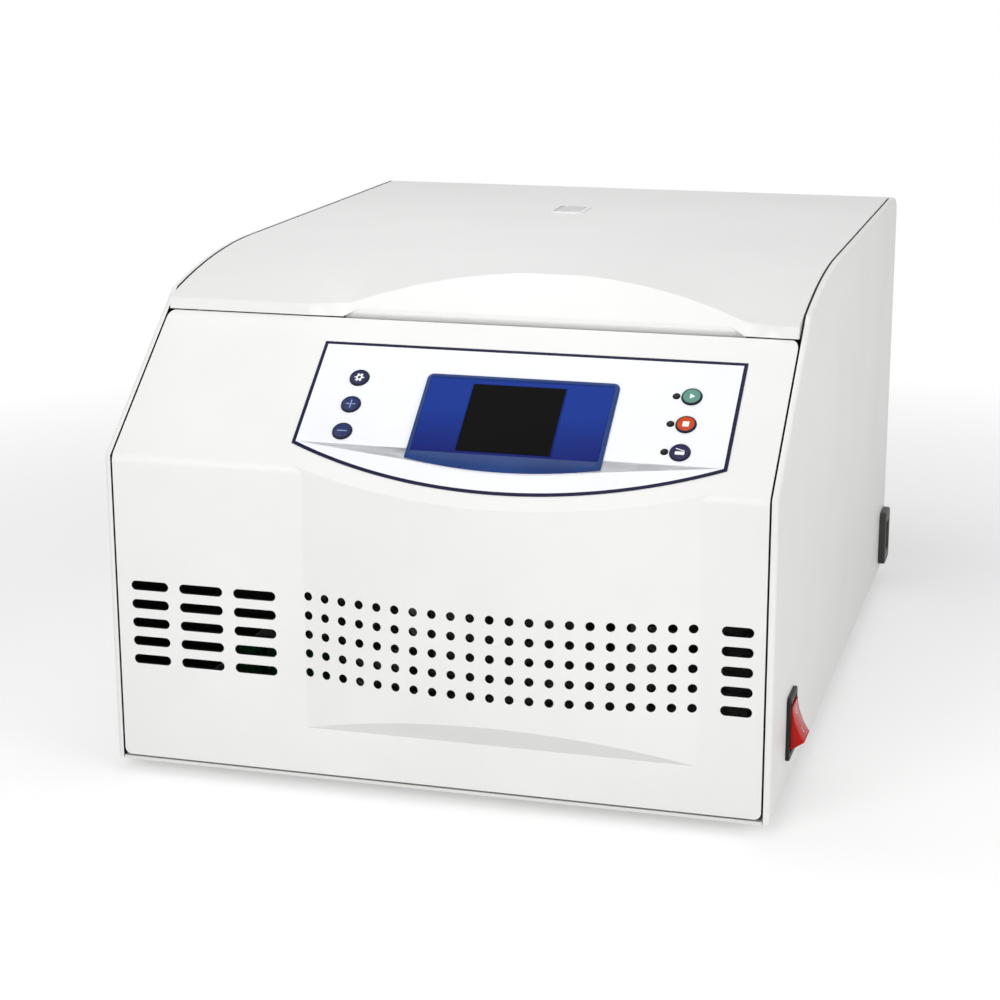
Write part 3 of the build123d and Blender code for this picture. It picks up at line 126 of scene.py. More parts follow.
# Power switch and mains inlet on the right side: y to the back, z up, from the case's origin
SWITCH_Y, SWITCH_Z = 70.0, 41.4
SWITCH_FACE = 218.0
INLET_FACE = 220.9
ROCKER_AXIS_X = 214.4
ROCKER_TILT = radians(20.0)
ROCKER_WIDTH = 22.0
ROCKER_BACK = 1.0
ROCKER_REACH = 9.0
ROCKER_WAIST = 7.3
ROCKER_HALF = 11.8
ROCKER_BASE = 14.4
ROCKER_TAPER = 3.0
ROCKER_TAIL = 8.8
ROCKER_EDGE = 0.5
PIN_RADIUS = 2.0
PIN_REACH = 1.0
# The marks' height from the axis and their lean, which follows the hollow face
MARK_Z = 6.8
MARK_LEAN = 0.163
RING_RADIUS = 2.1
RING_WIDTH = 0.55
RING_SUNK = 0.3
RING_RISE = 0.62
ON_STROKE = {"length": 4.2, "width": 0.6}
STROKE_RISE = 0.5

# Screws
HEAD_RADIUS = 3.8
HEAD_HEIGHT = 1.8
HEAD_EDGE = 1.0
SHANK_RADIUS = 2.0
SHANK_LENGTH = 6.0
RECESS_FLOOR = 0.8
RECESS_WIDTH, RECESS_LENGTH = 1.0, 4.0
SCREW_SPIN = 0.7
REAR_SCREWS_X = 201.2
REAR_SCREWS_Z = (30.0, 155.0, 258.0)
FAN_X, FAN_Z = 115.0, 62.0
FAN_SCREWS = 41.0
LINER_FRONT_Y, LINER_REAR_Y = 129.34, 540.0
LINER_SCREWS_X = (-196.7, 196.7)
LINER_REAR_X = (-196.7, 196.7, -70.0, 70.0)

# Camera, solved from the photograph: a place in the case, three turns and a lens
CAMERA_PLACE = (411.59, -1289.2, 552.5)
CAMERA_TURNED_LEFT = radians(15.845)
CAMERA_TIPPED_DOWN = radians(15.006)
CAMERA_ROLLED = radians(-0.139)
CAMERA_LENS = 82.49
SENSOR_WIDTH = 36.0

# Stage and light, in metres
FLOOR_RADIUS = 6.0
FLOOR_FADE = (0.45, 1.1)
# How much the white floor is lifted where it is seen, so that only the shadow is left on it
FLOOR_LIFT = 0.38
ROOM_LEVEL = 0.38
# Each lamp's name, watts, width, place and the point it faces
LAMPS = [
    ("front_lamp", 9.0, 1.0, (-0.3, -1.5, 0.66), (0.0, -0.15, 0.2)),
    ("lid_lamp", 1.75, 0.5, (-0.1, -0.1, 0.98), (0.0, 0.05, 0.3)),
    ("side_lamp", 7.8, 1.0, (1.5, -0.75, 0.6), (0.2, 0.0, 0.15)),
]


def mm(value):
    return value * 0.001


cover_corner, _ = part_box("left_side_cover")
CASE_ORIGIN = cover_corner * 1000 + Vector((CASE_HALF, 0, 0))


def in_frame(x, y, z):
    """A place in the case, in millimetres, as a place in the frame, in metres."""
    return (CASE_ORIGIN + Vector((x, y, z))) * 0.001


CONSOLE_BEND = Matrix.Translation(in_frame(0, 0, CONSOLE_BEND_Z))
CONSOLE = CONSOLE_BEND @ Matrix.Rotation(CONSOLE_SLOPE, 4, "X")


# Camera
def make_camera():
    """Long lens a little above the case and to its right, as in the photograph."""
    data = bpy.data.cameras.new("photograph_camera")
    data.lens = CAMERA_LENS
    data.sensor_width = SENSOR_WIDTH
    camera = bpy.data.objects.new("photograph_camera", data)
    bpy.context.scene.collection.objects.link(camera)
    turn = Matrix.Rotation(CAMERA_TURNED_LEFT, 4, "Z")
    tip = Matrix.Rotation(pi / 2 - CAMERA_TIPPED_DOWN, 4, "X")
    roll = Matrix.Rotation(CAMERA_ROLLED, 4, "Z")
    camera.matrix_world = Matrix.Translation(in_frame(*CAMERA_PLACE)) @ (turn @ tip) @ roll
    bpy.context.scene.camera = camera


# Modelling, as by hand
def choose(piece):
    """Makes one piece the only selected one."""
    for other in bpy.context.selected_objects:
        other.select_set(False)
    piece.select_set(True)
    bpy.context.view_layer.objects.active = piece


@contextmanager
def editing(piece):
    choose(piece)
    bpy.ops.object.mode_set(mode="EDIT")
    yield
    bpy.ops.object.mode_set(mode="OBJECT")


def pick(kind, test):
    """In edit mode, selects only the faces, edges or verts that pass the test."""
    modes = {"verts": "VERT", "edges": "EDGE", "faces": "FACE"}
    bpy.ops.mesh.select_mode(type=modes[kind])
    bpy.ops.mesh.select_all(action="DESELECT")
    mesh = bpy.context.edit_object.data
    shape = bmesh.from_edit_mesh(mesh)
    for element in getattr(shape, kind):
        if test(element):
            element.select_set(True)
    shape.select_flush_mode()
    bmesh.update_edit_mesh(mesh)


def middle(edge):
    return (edge.verts[0].co + edge.verts[1].co) / 2


def upright(edge):
    """Whether an edge runs straight up."""
    run = edge.verts[1].co - edge.verts[0].co
    return abs(run.normalized().z) > 0.99


def near(value, target):
    """Whether a measure in metres is the target in millimetres."""
    return abs(value * 1000 - target) < SLACK


def flat_at(level):
    """Test for a face or an edge lying flat at a height."""
    return lambda part: all(near(corner.co.z, level) for corner in part.verts)


def capping(face):
    """Whether a face is a disc's flat end."""
    return abs(face.normal.z) > 0.9 and len(face.verts) > 8


def extrude(x=0.0, y=0.0, z=0.0):
    """In edit mode, draws the picked faces out by a distance in millimetres."""
    bpy.ops.mesh.extrude_region_move(TRANSFORM_OT_translate={"value": (mm(x), mm(y), mm(z))})


def resize(x=1.0, y=1.0, z=1.0, centre=(0, 0, 0)):
    """In edit mode, scales what is picked about a point."""
    bpy.ops.transform.resize(value=(x, y, z), center_override=centre)


def inset(width, depth=0.0):
    bpy.ops.mesh.inset(thickness=mm(width), depth=mm(depth))


def soften(width, rounds=3):
    """In edit mode, rounds the picked edges."""
    bpy.ops.mesh.bevel(offset=mm(width), segments=rounds, affect="EDGES", profile=0.5)


def paint_picked(piece, slot):
    """In edit mode, gives the picked faces the material in that slot."""
    piece.active_material_index = slot
    bpy.ops.object.material_slot_assign()


def disc(name, radius, low, high, x=0.0, y=0.0, sides=64):
    choose(nodes["feet"])
    bpy.ops.mesh.primitive_cylinder_add(
        vertices=sides,
        radius=mm(radius),
        depth=mm(high - low),
        location=(mm(x), mm(y), mm((low + high) / 2)),
    )
    return settled(name)


def slab(name, left, right, near_y, far_y, low, high):
    choose(nodes["feet"])
    bpy.ops.mesh.primitive_cube_add(
        size=1.0,
        location=(mm((left + right) / 2), mm((near_y + far_y) / 2), mm((low + high) / 2)),
        scale=(mm(right - left), mm(far_y - near_y), mm(high - low)),
    )
    return settled(name)


def settled(name):
    """Names the active piece and puts its place into its mesh."""
    piece = bpy.context.view_layer.objects.active
    piece.name = name
    piece.data.name = name
    choose(piece)
    bpy.ops.object.transform_apply(location=True, rotation=True, scale=True)
    return piece


def copied(piece, name):
    twin = bpy.data.objects.new(name, piece.data.copy())
    bpy.context.scene.collection.objects.link(twin)
    return twin


def moved(piece, matrix):
    """Turns and shifts the finished mesh, leaving its object at the origin."""
    choose(piece)
    piece.matrix_world = matrix
    return settled(piece.name)


def shifted(piece, x, y, z=0.0):
    return moved(piece, Matrix.Translation((mm(x), mm(y), mm(z))))


def joined(name, pieces):
    choose(pieces[0])
    for piece in pieces[1:]:
        piece.select_set(True)
    bpy.ops.object.join()
    return settled(name)


def repeated(blank, name, places):
    """One piece made of copies of the blank at places on the console; the blank goes."""
    twins = []
    for number, (x, s) in enumerate(places):
        twins.append(shifted(copied(blank, f"{name}_{number}"), x, s))
    bpy.data.objects.remove(blank)
    return joined(name, twins)


def cut_out(piece, cutter):
    choose(piece)
    modifier = piece.modifiers.new("cut", "BOOLEAN")
    modifier.object = cutter
    modifier.operation = "DIFFERENCE"
    modifier.solver = "MANIFOLD"
    bpy.ops.object.modifier_apply(modifier=modifier.name)
    bpy.data.objects.remove(cutter)
    return piece


def merged_copy(node, name):
    """A copy of a CAD node with its loose triangles merged into whole faces."""
    piece = copied(nodes[node], name)
    piece.data.materials.clear()
    with editing(piece):
        bpy.ops.mesh.select_all(action="SELECT")
        bpy.ops.mesh.remove_doubles(threshold=mm(MERGE_DISTANCE))
        bpy.ops.mesh.customdata_custom_splitnormals_clear()
        bpy.ops.mesh.dissolve_limited(angle_limit=MERGE_ANGLE)
    return piece


def smooth(piece, angle=35.0):
    choose(piece)
    bpy.ops.object.shade_smooth_by_angle(angle=radians(angle))
    return piece


def dress(piece, *finishes):
    """Gives a piece its materials, in the order of its slots."""
    piece.data.materials.clear()
    for finish in finishes:
        piece.data.materials.append(finish)
    return piece


def inked(strokes, paints):
    """Dresses a sign's strokes like the piece that they join, all in its last paint."""
    for stroke in strokes:
        dress(stroke, *paints)
        with editing(stroke):
            bpy.ops.mesh.select_all(action="SELECT")
            paint_picked(stroke, len(paints) - 1)
    return strokes


# Colours and materials
RGBA = {"data_type": "RGBA"}
METAL = {"Metallic": 1.0}
INK = {"IOR": 1.5, "Specular IOR Level": 0.12}
RUBBER_KEY = {"IOR": 1.43, "Specular IOR Level": 0.2}
# Dark painted shade for the gaps between parts and inside the vents, on faces that are the same white
# ABS
PAINTED_SHADE = "#141413"


def linear(hex_colour):
    """An sRGB hex value as the linear colour that the shader takes."""
    channels = [int(hex_colour[i : i + 2], 16) / 255 for i in (1, 3, 5)]
    return [c / 12.92 if c <= 0.04045 else ((c + 0.055) / 1.055) ** 2.4 for c in channels] + [1.0]


def add(tree, kind, settings=(), **links):
    """Adds a node with its settings; links are values or sockets, by the input's name or number."""
    made = tree.nodes.new(kind)
    for name, value in dict(settings).items():
        setattr(made, name, value)
    for name, value in links.items():
        key = int(name[1:]) if name[0] == "_" else name.replace("_", " ")
        if isinstance(value, bpy.types.NodeSocket):
            tree.links.new(value, made.inputs[key])
        else:
            made.inputs[key].default_value = value
    return made


def start(name):
    """A new material's tree, its shader and its Object coordinates."""
    finish = bpy.data.materials.new(name)
    finish.use_nodes = True
    tree = finish.node_tree
    shader = tree.nodes["Principled BSDF"]
    place = add(tree, "ShaderNodeTexCoord").outputs["Object"]
    return finish, tree, shader, place


def maths(tree, operation, *values):
    """What one Math node makes of its inputs."""
    inputs = {f"_{number}": value for number, value in enumerate(values)}
    return add(tree, "ShaderNodeMath", {"operation": operation}, **inputs).outputs[0]


def noise(tree, place, size, detail):
    """Noise whose patches have a real size in millimetres."""
    made = add(tree, "ShaderNodeTexNoise", Vector=place, Scale=1000 / size, Detail=detail)
    return made.outputs["Fac"]


def colour_between(tree, factor, first, second, ends=(0.0, 1.0)):
    """A colour that goes from the first to the second while the factor goes between the ends."""
    ramp = add(tree, "ShaderNodeValToRGB", Fac=factor)
    for stop, colour, end in zip(ramp.color_ramp.elements, (first, second), ends):
        stop.color = linear(colour)
        stop.position = end
    return ramp.outputs["Color"]


def gloss_between(tree, shader, factor, smoothest, roughest):
    span = add(tree, "ShaderNodeMapRange", Value=factor, To_Min=smoothest, To_Max=roughest)
    tree.links.new(span.outputs["Result"], shader.inputs["Roughness"])


def relief_from(tree, shader, height, depth, strength):
    """Relief whose depth is in millimetres."""
    bump = add(tree, "ShaderNodeBump", Height=height, Distance=mm(depth), Strength=strength)
    tree.links.new(bump.outputs["Normal"], shader.inputs["Normal"])


def surface(
    name,
    colour,
    shade,
    mottle,
    rough,
    grain,
    relief,
    stretch=(1, 1, 1),
    spread=0.06,
    sockets=(),
    lacquered=None,
):
    """One real finish: two close tones, a roughness that wanders and a grain with some relief.
    mottle and grain are the real sizes in millimetres of the tone patches and of the grain.
    lacquered picks the faces that get a dark painted shade, which darkens the gaps between parts."""
    finish, tree, shader, place = start(name)
    for socket, value in dict(sockets).items():
        shader.inputs[socket].default_value = value
    along = add(tree, "ShaderNodeMapping", Vector=place, Scale=stretch).outputs[0]
    patches = noise(tree, place, mottle, 3.0)
    fine = noise(tree, along, grain, 2.0)
    tone = colour_between(tree, patches, colour, shade, (0.35, 0.7))
    if lacquered:
        shade_mask = lacquered(tree, place)
        tone = add(tree, "ShaderNodeMix", RGBA, _0=shade_mask, _6=tone, _7=linear(PAINTED_SHADE)).outputs[2]
    tree.links.new(tone, shader.inputs["Base Color"])
    gloss_between(tree, shader, fine, rough - spread, rough + spread)
    relief_from(tree, shader, fine, relief, 0.6)
    return finish


def inside_of_covers(tree, place):
    """The faces of the side covers that look at the panel and the lid; they get a dark painted shade.
    """
    across = add(tree, "ShaderNodeSeparateXYZ", Vector=place).outputs["X"]
    from_middle = maths(tree, "ADD", across, -in_frame(0, 0, 0).x)
    return maths(tree, "LESS_THAN", maths(tree, "ABSOLUTE", from_middle), mm(COVER_INSIDE + HAIR))


def walls_of_panel(tree, place):
    """The walls of the vents and the panel's rim, which turn away from the front; they get a dark
    painted shade.
    """
    normal = add(tree, "ShaderNodeNewGeometry").outputs["Normal"]
    forward = add(tree, "ShaderNodeSeparateXYZ", Vector=normal).outputs["Y"]
    return maths(tree, "LESS_THAN", maths(tree, "ABSOLUTE", forward), 0.4)


def make_finishes():
    made = {}

    def finish(name, *tones_and_grain, **more):
        made[name] = surface(name, *tones_and_grain, **more)

    # Moulded ABS: spark eroded grain of 0.3 mm, drawn at 0.9 mm so that it shows; a satin white. The
    # covers' inner faces get a dark painted shade, which darkens the gaps
    abs_tones = ("#f4f4f2", "#f0f0ee", 90.0, 0.42, 0.9, 0.02)
    finish("moulded_abs", *abs_tones, sockets={"IOR": 1.53}, lacquered=inside_of_covers)
    # The front panel is the same ABS; its vents' walls and rim get a dark painted shade, which darkens
    # the vents and the gaps
    finish("vented_abs", *abs_tones, sockets={"IOR": 1.53}, lacquered=walls_of_panel)
    # The lid's ABS comes from another mould and is a little glossier
    finish("lid_abs", "#f2f2f1", "#eeeeed", 120.0, 0.34, 1.1, 0.015, sockets={"IOR": 1.53})
    # Powder-coated steel: orange peel of about 2 mm, which breaks up the highlights
    finish("powder_coat", "#e9e9e6", "#e3e3df", 60.0, 0.45, 2.0, 0.05, sockets={"IOR": 1.5})
    # Polyester film printed from behind: faint blue white with a fine matt texture
    finish("printed_film", "#f6f8fb", "#f2f4f8", 40.0, 0.38, 0.6, 0.008, sockets={"IOR": 1.57})
    # Screen printed navy ink under the film
    finish("navy_ink", "#0b0b33", "#10103c", 12.0, 0.32, 0.6, 0.008, sockets=INK)
    # White ink of the key signs
    finish("white_ink", "#fafafa", "#f0f0f2", 3.0, 0.5, 0.4, 0.004)
    # Pale blue ink of the plus and minus signs
    finish("pale_ink", "#8fa3cf", "#7f94c4", 3.0, 0.5, 0.4, 0.004)
    # Silicone keys, moulded in colour, with a soft sheen
    finish("navy_key", "#2b3766", "#232b55", 6.0, 0.45, 0.5, 0.01, sockets=RUBBER_KEY)
    finish("dark_key", "#2a2a55", "#22224a", 6.0, 0.45, 0.5, 0.01, sockets=RUBBER_KEY)
    finish("green_key", "#69a08e", "#5f9584", 6.0, 0.45, 0.5, 0.01, sockets=RUBBER_KEY)
    finish("orange_key", "#d4501f", "#c6451a", 6.0, 0.45, 0.5, 0.01, sockets=RUBBER_KEY)
    finish("key_rim", "#14142c", "#1a1a36", 6.0, 0.4, 0.5, 0.01, sockets=RUBBER_KEY)
    # Status lamps, unlit: near black tinted polycarbonate
    finish("dark_lens", "#08080a", "#0d0d10", 3.0, 0.2, 0.5, 0.004, sockets=INK)
    # Blue moulded display frame, and its lacquered well with painted light
    finish("blue_moulding", "#26437e", "#213a72", 30.0, 0.3, 0.8, 0.008, sockets=INK)
    made["blue_lacquer_painted_light"] = blue_lacquer_painted_light()
    # Display glass: black behind 2 mm of glass, almost mirror smooth
    finish(
        "display_glass", "#08080a", "#0b0b0d", 50.0, 0.07, 3.0, 0.002,
        spread=0.02, sockets={"Specular IOR Level": 0.02},
    )
    # Moulded black nylon: dull with a coarse grain
    dull = {"Specular IOR Level": 0.25}
    finish("black_nylon", "#1b1a18", "#24221f", 15.0, 0.5, 0.8, 0.02, sockets=dull)
    # The inlet's nylon is a dark grey
    less_dull = {"Specular IOR Level": 0.3}
    finish("inlet_nylon", "#363634", "#3f3f3c", 15.0, 0.48, 0.8, 0.02, sockets=less_dull)
    # Red polycarbonate rocker: glossy
    finish(
        "red_polycarbonate", "#c8201c", "#bb1a17", 20.0, 0.2, 0.8, 0.004, spread=0.03, sockets=INK
    )
    # Neoprene of the feet, the boot and the motor's mounts
    finish("black_rubber", "#1b1b1b", "#232323", 10.0, 0.75, 0.8, 0.03)
    # Silicone of the bowl's gasket
    finish("grey_silicone", "#8a8a88", "#7f7f7d", 25.0, 0.6, 0.8, 0.015)
    # Stainless steel, ground: fine level scratches
    finish(
        "stainless", "#c9c8c5", "#bdbcb9", 30.0, 0.26, 0.8, 0.01, (0.15, 0.15, 4), sockets=METAL
    )
    made["brushed_bowl"] = brushed_bowl()
    # Zinc plate, passivated: cool grey with a faint blue and yellow cast
    finish("zinc_plate", "#b9bcc0", "#c2bfae", 9.0, 0.32, 0.7, 0.01, sockets=METAL)
    # Dark grey primer on the steel guard ring
    finish("primer", "#4c4a49", "#434140", 25.0, 0.65, 1.5, 0.05)
    # Cast aluminium, bead blasted: bright but quite matt
    finish("blasted_aluminium", "#c3c5c7", "#b7b9bb", 18.0, 0.42, 0.6, 0.02, sockets=METAL)
    # Brass pins, nickel plated
    finish("nickelled_brass", "#d3cba9", "#c9bf97", 3.0, 0.25, 0.5, 0.004, sockets=METAL)
    # Silicon steel sheets, drawn 1 mm thick, and enamelled copper wire of 1.8 mm
    made["lamination_stack"] = striped("lamination_stack", "#3c3a38", "#57534f", 1.0, 0.5)
    made["enamelled_wire"] = striped("enamelled_wire", "#8a3d16", "#c0662c", 1.8, 0.35)
    made["circuit_board"] = circuit_board()
    made["clear_polycarbonate"] = clear_polycarbonate()
    return made


def blue_lacquer_painted_light():
    """Lacquer in the display's well with painted light and shade: royal blue at the top, a darker
    violet blue at the bottom.
    """
    finish, tree, shader, place = start("blue_lacquer_painted_light")
    height = add(tree, "ShaderNodeSeparateXYZ", Vector=place).outputs["Z"]
    low, high = (in_frame(0, 0, level).z for level in PAINTED_LIGHT_SPAN)
    share = add(tree, "ShaderNodeMapRange", Value=height, From_Min=low, From_Max=high).outputs[0]
    mixed = maths(tree, "MULTIPLY_ADD", noise(tree, place, 45.0, 1.0), 0.5, share)
    tone = colour_between(tree, mixed, "#161d68", "#1b3a94", (0.2, 0.9))
    tree.links.new(tone, shader.inputs["Base Color"])
    shader.inputs["Roughness"].default_value = 0.3
    shader.inputs["Specular IOR Level"].default_value = 0.04
    return finish


def striped(name, first, second, pitch, rough):
    """Stacked sheets or laid wires: fine level bands at their real pitch in millimetres."""
    finish, tree, shader, place = start(name)
    # A wave node repeats every 2 pi / 20 of its scaled length
    bands = add(
        tree,
        "ShaderNodeTexWave",
        {"wave_type": "BANDS", "bands_direction": "Z"},
        Vector=place,
        Scale=1000 / pitch * pi / 10,
        Distortion=0.6,
        Detail=1.0,
    ).outputs["Fac"]
    tree.links.new(colour_between(tree, bands, first, second), shader.inputs["Base Color"])
    relief_from(tree, shader, bands, 0.1, 0.8)
    shader.inputs["Metallic"].default_value = 0.6
    shader.inputs["Roughness"].default_value = rough
    return finish


def brushed_bowl():
    """Spun stainless steel: fine rings left by the forming roller, 0.5 mm apart, drawn at 1.5 mm."""
    finish, tree, shader, place = start("brushed_bowl")
    centre = in_frame(0, BOWL_Y, 0)
    to_centre = (-centre.x, -centre.y, 0)
    offset = add(tree, "ShaderNodeMapping", Vector=place, Location=to_centre).outputs[0]
    parts = add(tree, "ShaderNodeSeparateXYZ", Vector=offset).outputs
    flat = add(tree, "ShaderNodeCombineXYZ", X=parts["X"], Y=parts["Y"]).outputs[0]
    out = add(tree, "ShaderNodeVectorMath", {"operation": "LENGTH"}, _0=flat).outputs["Value"]
    rings = add(tree, "ShaderNodeCombineXYZ", X=out, Y=parts["Z"]).outputs[0]
    lines = noise(tree, rings, 1.5, 3.0)
    tree.links.new(colour_between(tree, lines, "#b5b5b2", "#cfceca"), shader.inputs["Base Color"])
    gloss_between(tree, shader, lines, 0.2, 0.36)
    relief_from(tree, shader, lines, 0.02, 0.5)
    shader.inputs["Metallic"].default_value = 1.0
    return finish


def circuit_board():
    """Green solder mask with tracks about 4 mm apart showing through as a darker green."""
    finish, tree, shader, place = start("circuit_board")
    tracks = add(
        tree,
        "ShaderNodeTexVoronoi",
        {"feature": "DISTANCE_TO_EDGE", "distance": "EUCLIDEAN"},
        Vector=place,
        Scale=1000 / 4.0,
        Randomness=0.35,
    ).outputs["Distance"]
    tone = colour_between(tree, tracks, "#1d6a42", "#0f4529", (0.05, 0.09))
    tree.links.new(tone, shader.inputs["Base Color"])
    relief_from(tree, shader, tracks, 0.03, 0.4)
    shader.inputs["Roughness"].default_value = 0.3
    return finish


def clear_polycarbonate():
    """Viewport pane: clear, with faint haze from wiping."""
    finish, tree, shader, place = start("clear_polycarbonate")
    haze = noise(tree, place, 12.0, 4.0)
    gloss_between(tree, shader, haze, 0.03, 0.12)
    tree.links.new(colour_between(tree, haze, "#e9efee", "#dfe6e5"), shader.inputs["Base Color"])
    shader.inputs["Transmission Weight"].default_value = 0.9
    shader.inputs["IOR"].default_value = 1.58
    return finish


# Console pieces, modelled flat and then laid on the incline
def on_console(piece):
    return moved(piece, CONSOLE)


def bowed_plate(name, left, right, bottom, top, sag, low, high, corner=0.0):
    """A plate whose lower edge bows out by sag: a disc cut along its other three edges."""
    half = (right - left) / 2
    radius = (half**2 + sag**2) / (2 * sag)
    piece = disc(name, radius, low, high, left + half, bottom - sag + radius, 720)
    cuts = [((left, 0), (-1, 0)), ((right, 0), (1, 0)), ((0, top), (0, 1))]

    def at_corner(edge):
        place = middle(edge)
        at_side = near(place.x, left) or near(place.x, right)
        return upright(edge) and near(place.y, top) and at_side

    with editing(piece):
        for (x, s), (across, up) in cuts:
            bpy.ops.mesh.select_all(action="SELECT")
            bpy.ops.mesh.bisect(
                plane_co=(mm(x), mm(s), 0),
                plane_no=(across, up, 0),
                use_fill=True,
                clear_outer=True,
            )
        if corner:
            pick("edges", at_corner)
            soften(corner, 10)
        bpy.ops.mesh.select_all(action="SELECT")
        bpy.ops.mesh.normals_make_consistent(inside=False)
    return piece


def key_places():
    return [(x, s) for x in (LEFT_KEYS_X, RIGHT_KEYS_X) for s in KEY_ROWS]


def lamp_places():
    return [(LAMP_X, s) for s in KEY_ROWS]


def make_film(finishes):
    """The printed film over the console, with its navy border and its holes."""
    film = bowed_plate("key_overlay_film", low=0.0, high=FILM_THICKNESS, **FILM)
    dress(film, finishes["navy_ink"], finishes["printed_film"])
    with editing(film):
        pick("faces", flat_at(FILM_THICKNESS))
        inset(FILM_BORDER)
        paint_picked(film, 1)
    under, over = -1.0, FILM_THICKNESS + 1.0
    key_hole = disc("cutter", KEY_RADIUS + KEY_GAP, under, over)
    cut_out(film, repeated(key_hole, "cutter", key_places()))
    lamp_hole = disc("cutter", LAMP_RADIUS + LAMP_GAP, under, over, sides=40)
    cut_out(film, repeated(lamp_hole, "cutter", lamp_places()))
    window = {
        "left": SURROUND["left"] - WINDOW_GAP,
        "right": SURROUND["right"] + WINDOW_GAP,
        "bottom": SURROUND["bottom"] - WINDOW_GAP,
        "top": SURROUND["top"] + WINDOW_GAP,
        "sag": SURROUND["sag"],
    }
    round_corner = SURROUND_CORNER + WINDOW_GAP / 2
    cut_out(film, bowed_plate("cutter", low=under, high=over, corner=round_corner, **window))
    on_console(film)
    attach(film, "case")
    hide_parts("key_overlay")


def make_surround(finishes):
    """The blue display frame: a bowed plate with a straight-bottomed lacquered well."""
    plate = bowed_plate(
        "display_surround", low=0.0, high=SURROUND_TOP, corner=SURROUND_CORNER, **SURROUND
    )
    dress(plate, finishes["blue_moulding"], finishes["blue_lacquer_painted_light"])
    half = (SURROUND["right"] - SURROUND["left"]) / 2
    middle_x = SURROUND["left"] + half
    lowest = SURROUND["bottom"] + WELL_MARGIN

    def on_bow(vert):
        across = abs(vert.co.x * 1000 - middle_x)
        low_enough = vert.co.y * 1000 < lowest + 0.05
        return near(vert.co.z, SURROUND_TOP) and low_enough and across < half - WELL_MARGIN + 0.5

    with editing(plate):
        pick("faces", flat_at(SURROUND_TOP))
        inset(WELL_MARGIN)
        pick("verts", on_bow)
        keep_inner_row(plate)
        resize(y=0, centre=(mm(middle_x), mm(WELL_BOTTOM), mm(SURROUND_TOP)))
        pick("faces", lambda f: flat_at(SURROUND_TOP)(f) and len(f.verts) > 20)
        extrude(z=WELL_FLOOR - SURROUND_TOP)
        paint_picked(plate, 1)
        pick("edges", lambda e: flat_at(SURROUND_TOP)(e) and e.calc_face_angle(0) > 0.5)
        soften(WELL_EDGE, 2)
    left, right, bottom, top = GLASS
    cut_out(plate, slab("cutter", left, right, bottom, top, -2.0, SURROUND_TOP + 1.0))
    smooth(plate)
    on_console(plate)
    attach(plate, "case")
    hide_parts("display_bezel")


def keep_inner_row(plate):
    """Of the picked corners, drops those on the plate's outer edge."""
    shape = bmesh.from_edit_mesh(plate.data)
    for corner in shape.verts:
        if corner.select and any(abs(f.normal.z) < 0.5 for f in corner.link_faces):
            corner.select_set(False)
    shape.select_flush_mode()
    bmesh.update_edit_mesh(plate.data)


def make_glass(finishes):
    """The display glass on its module, standing a little out of the well."""
    left, right, bottom, top = GLASS
    glass = slab(
        "display_glass",
        left + GLASS_GAP,
        right - GLASS_GAP,
        bottom + GLASS_GAP,
        top - GLASS_GAP,
        -PANEL_WALL,
        GLASS_TOP,
    )
    dress(glass, finishes["display_glass"], finishes["blue_lacquer_painted_light"])
    wider = 1 + 2 * MODULE_MARGIN / (right - left)
    taller = 1 + 2 * MODULE_MARGIN / (top - bottom)
    with editing(glass):
        pick("faces", flat_at(-PANEL_WALL))
        extrude(z=-HAIR)
        extrude()
        resize(wider, taller, centre=(mm((left + right) / 2), mm((bottom + top) / 2), 0))
        extrude(z=-MODULE_DEPTH)
        pick("edges", flat_at(GLASS_TOP))
        soften(GLASS_EDGE, 1)
        # The module's slanted faces take the well's lacquer, with its painted light
        pick("faces", lambda f: 0.2 < f.normal.z < 0.95 and f.normal.x > 0.2)
        paint_picked(glass, 1)
    on_console(glass)
    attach(glass, "case")
    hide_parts("display_screen")


# Signs on the keys, each modelled round the key's middle and then moved onto it
def sign_settings():
    """A gear with a round hole."""
    sign = disc("sign", GEAR_ROOT, 0.0, SIGN_THICKNESS, sides=GEAR_TEETH * 6)
    with editing(sign):
        pick("faces", lambda f: abs(f.normal.z) < 0.5 and on_tooth(f.calc_center_median()))
        bpy.ops.mesh.extrude_region_shrink_fatten(
            TRANSFORM_OT_shrink_fatten={"value": mm(GEAR_TOOTH)}
        )
        pick("faces", capping)
        inset(GEAR_RING)
        bpy.ops.mesh.bridge_edge_loops()
    return [sign]


def on_tooth(place):
    share = 2 * pi / GEAR_TEETH
    return (atan2(place.y, place.x) + share / 4) % share < share / 2


def bar(length, width, turn=0.0, rise=0.0):
    """A rounded stroke of a sign, turned by degrees."""
    stroke = slab("sign", -width / 2, width / 2, -width / 2, width / 2, 0.0, SIGN_THICKNESS)
    with editing(stroke):
        for side in (-1, 1):
            pick("faces", lambda f: f.normal.x * side > 0.9)
            extrude(side * (length - width) / 2)
        pick("edges", lambda e: upright(e) and e.calc_face_angle(0) > 1.0)
        soften(width * 0.3, 2)
    place = Matrix.Translation((0, mm(rise), 0)) @ Matrix.Rotation(radians(turn), 4, "Z")
    return moved(stroke, place)


def blunted(sign, width):
    """Rounds the upright corners of a sign."""
    with editing(sign):
        pick("edges", upright)
        soften(width)
    return sign


def sign_plus():
    return [bar(STROKE_LENGTH, STROKE_WIDTH), bar(STROKE_LENGTH, STROKE_WIDTH, 90.0)]


def sign_minus():
    return [bar(STROKE_LENGTH, STROKE_WIDTH)]


def sign_start():
    """A play triangle with its corners just blunted."""
    sign = blunted(disc("sign", PLAY_RADIUS, 0.0, SIGN_THICKNESS, sides=3), PLAY_EDGE)
    return [moved(sign, Matrix.Rotation(-pi / 2, 4, "Z"))]


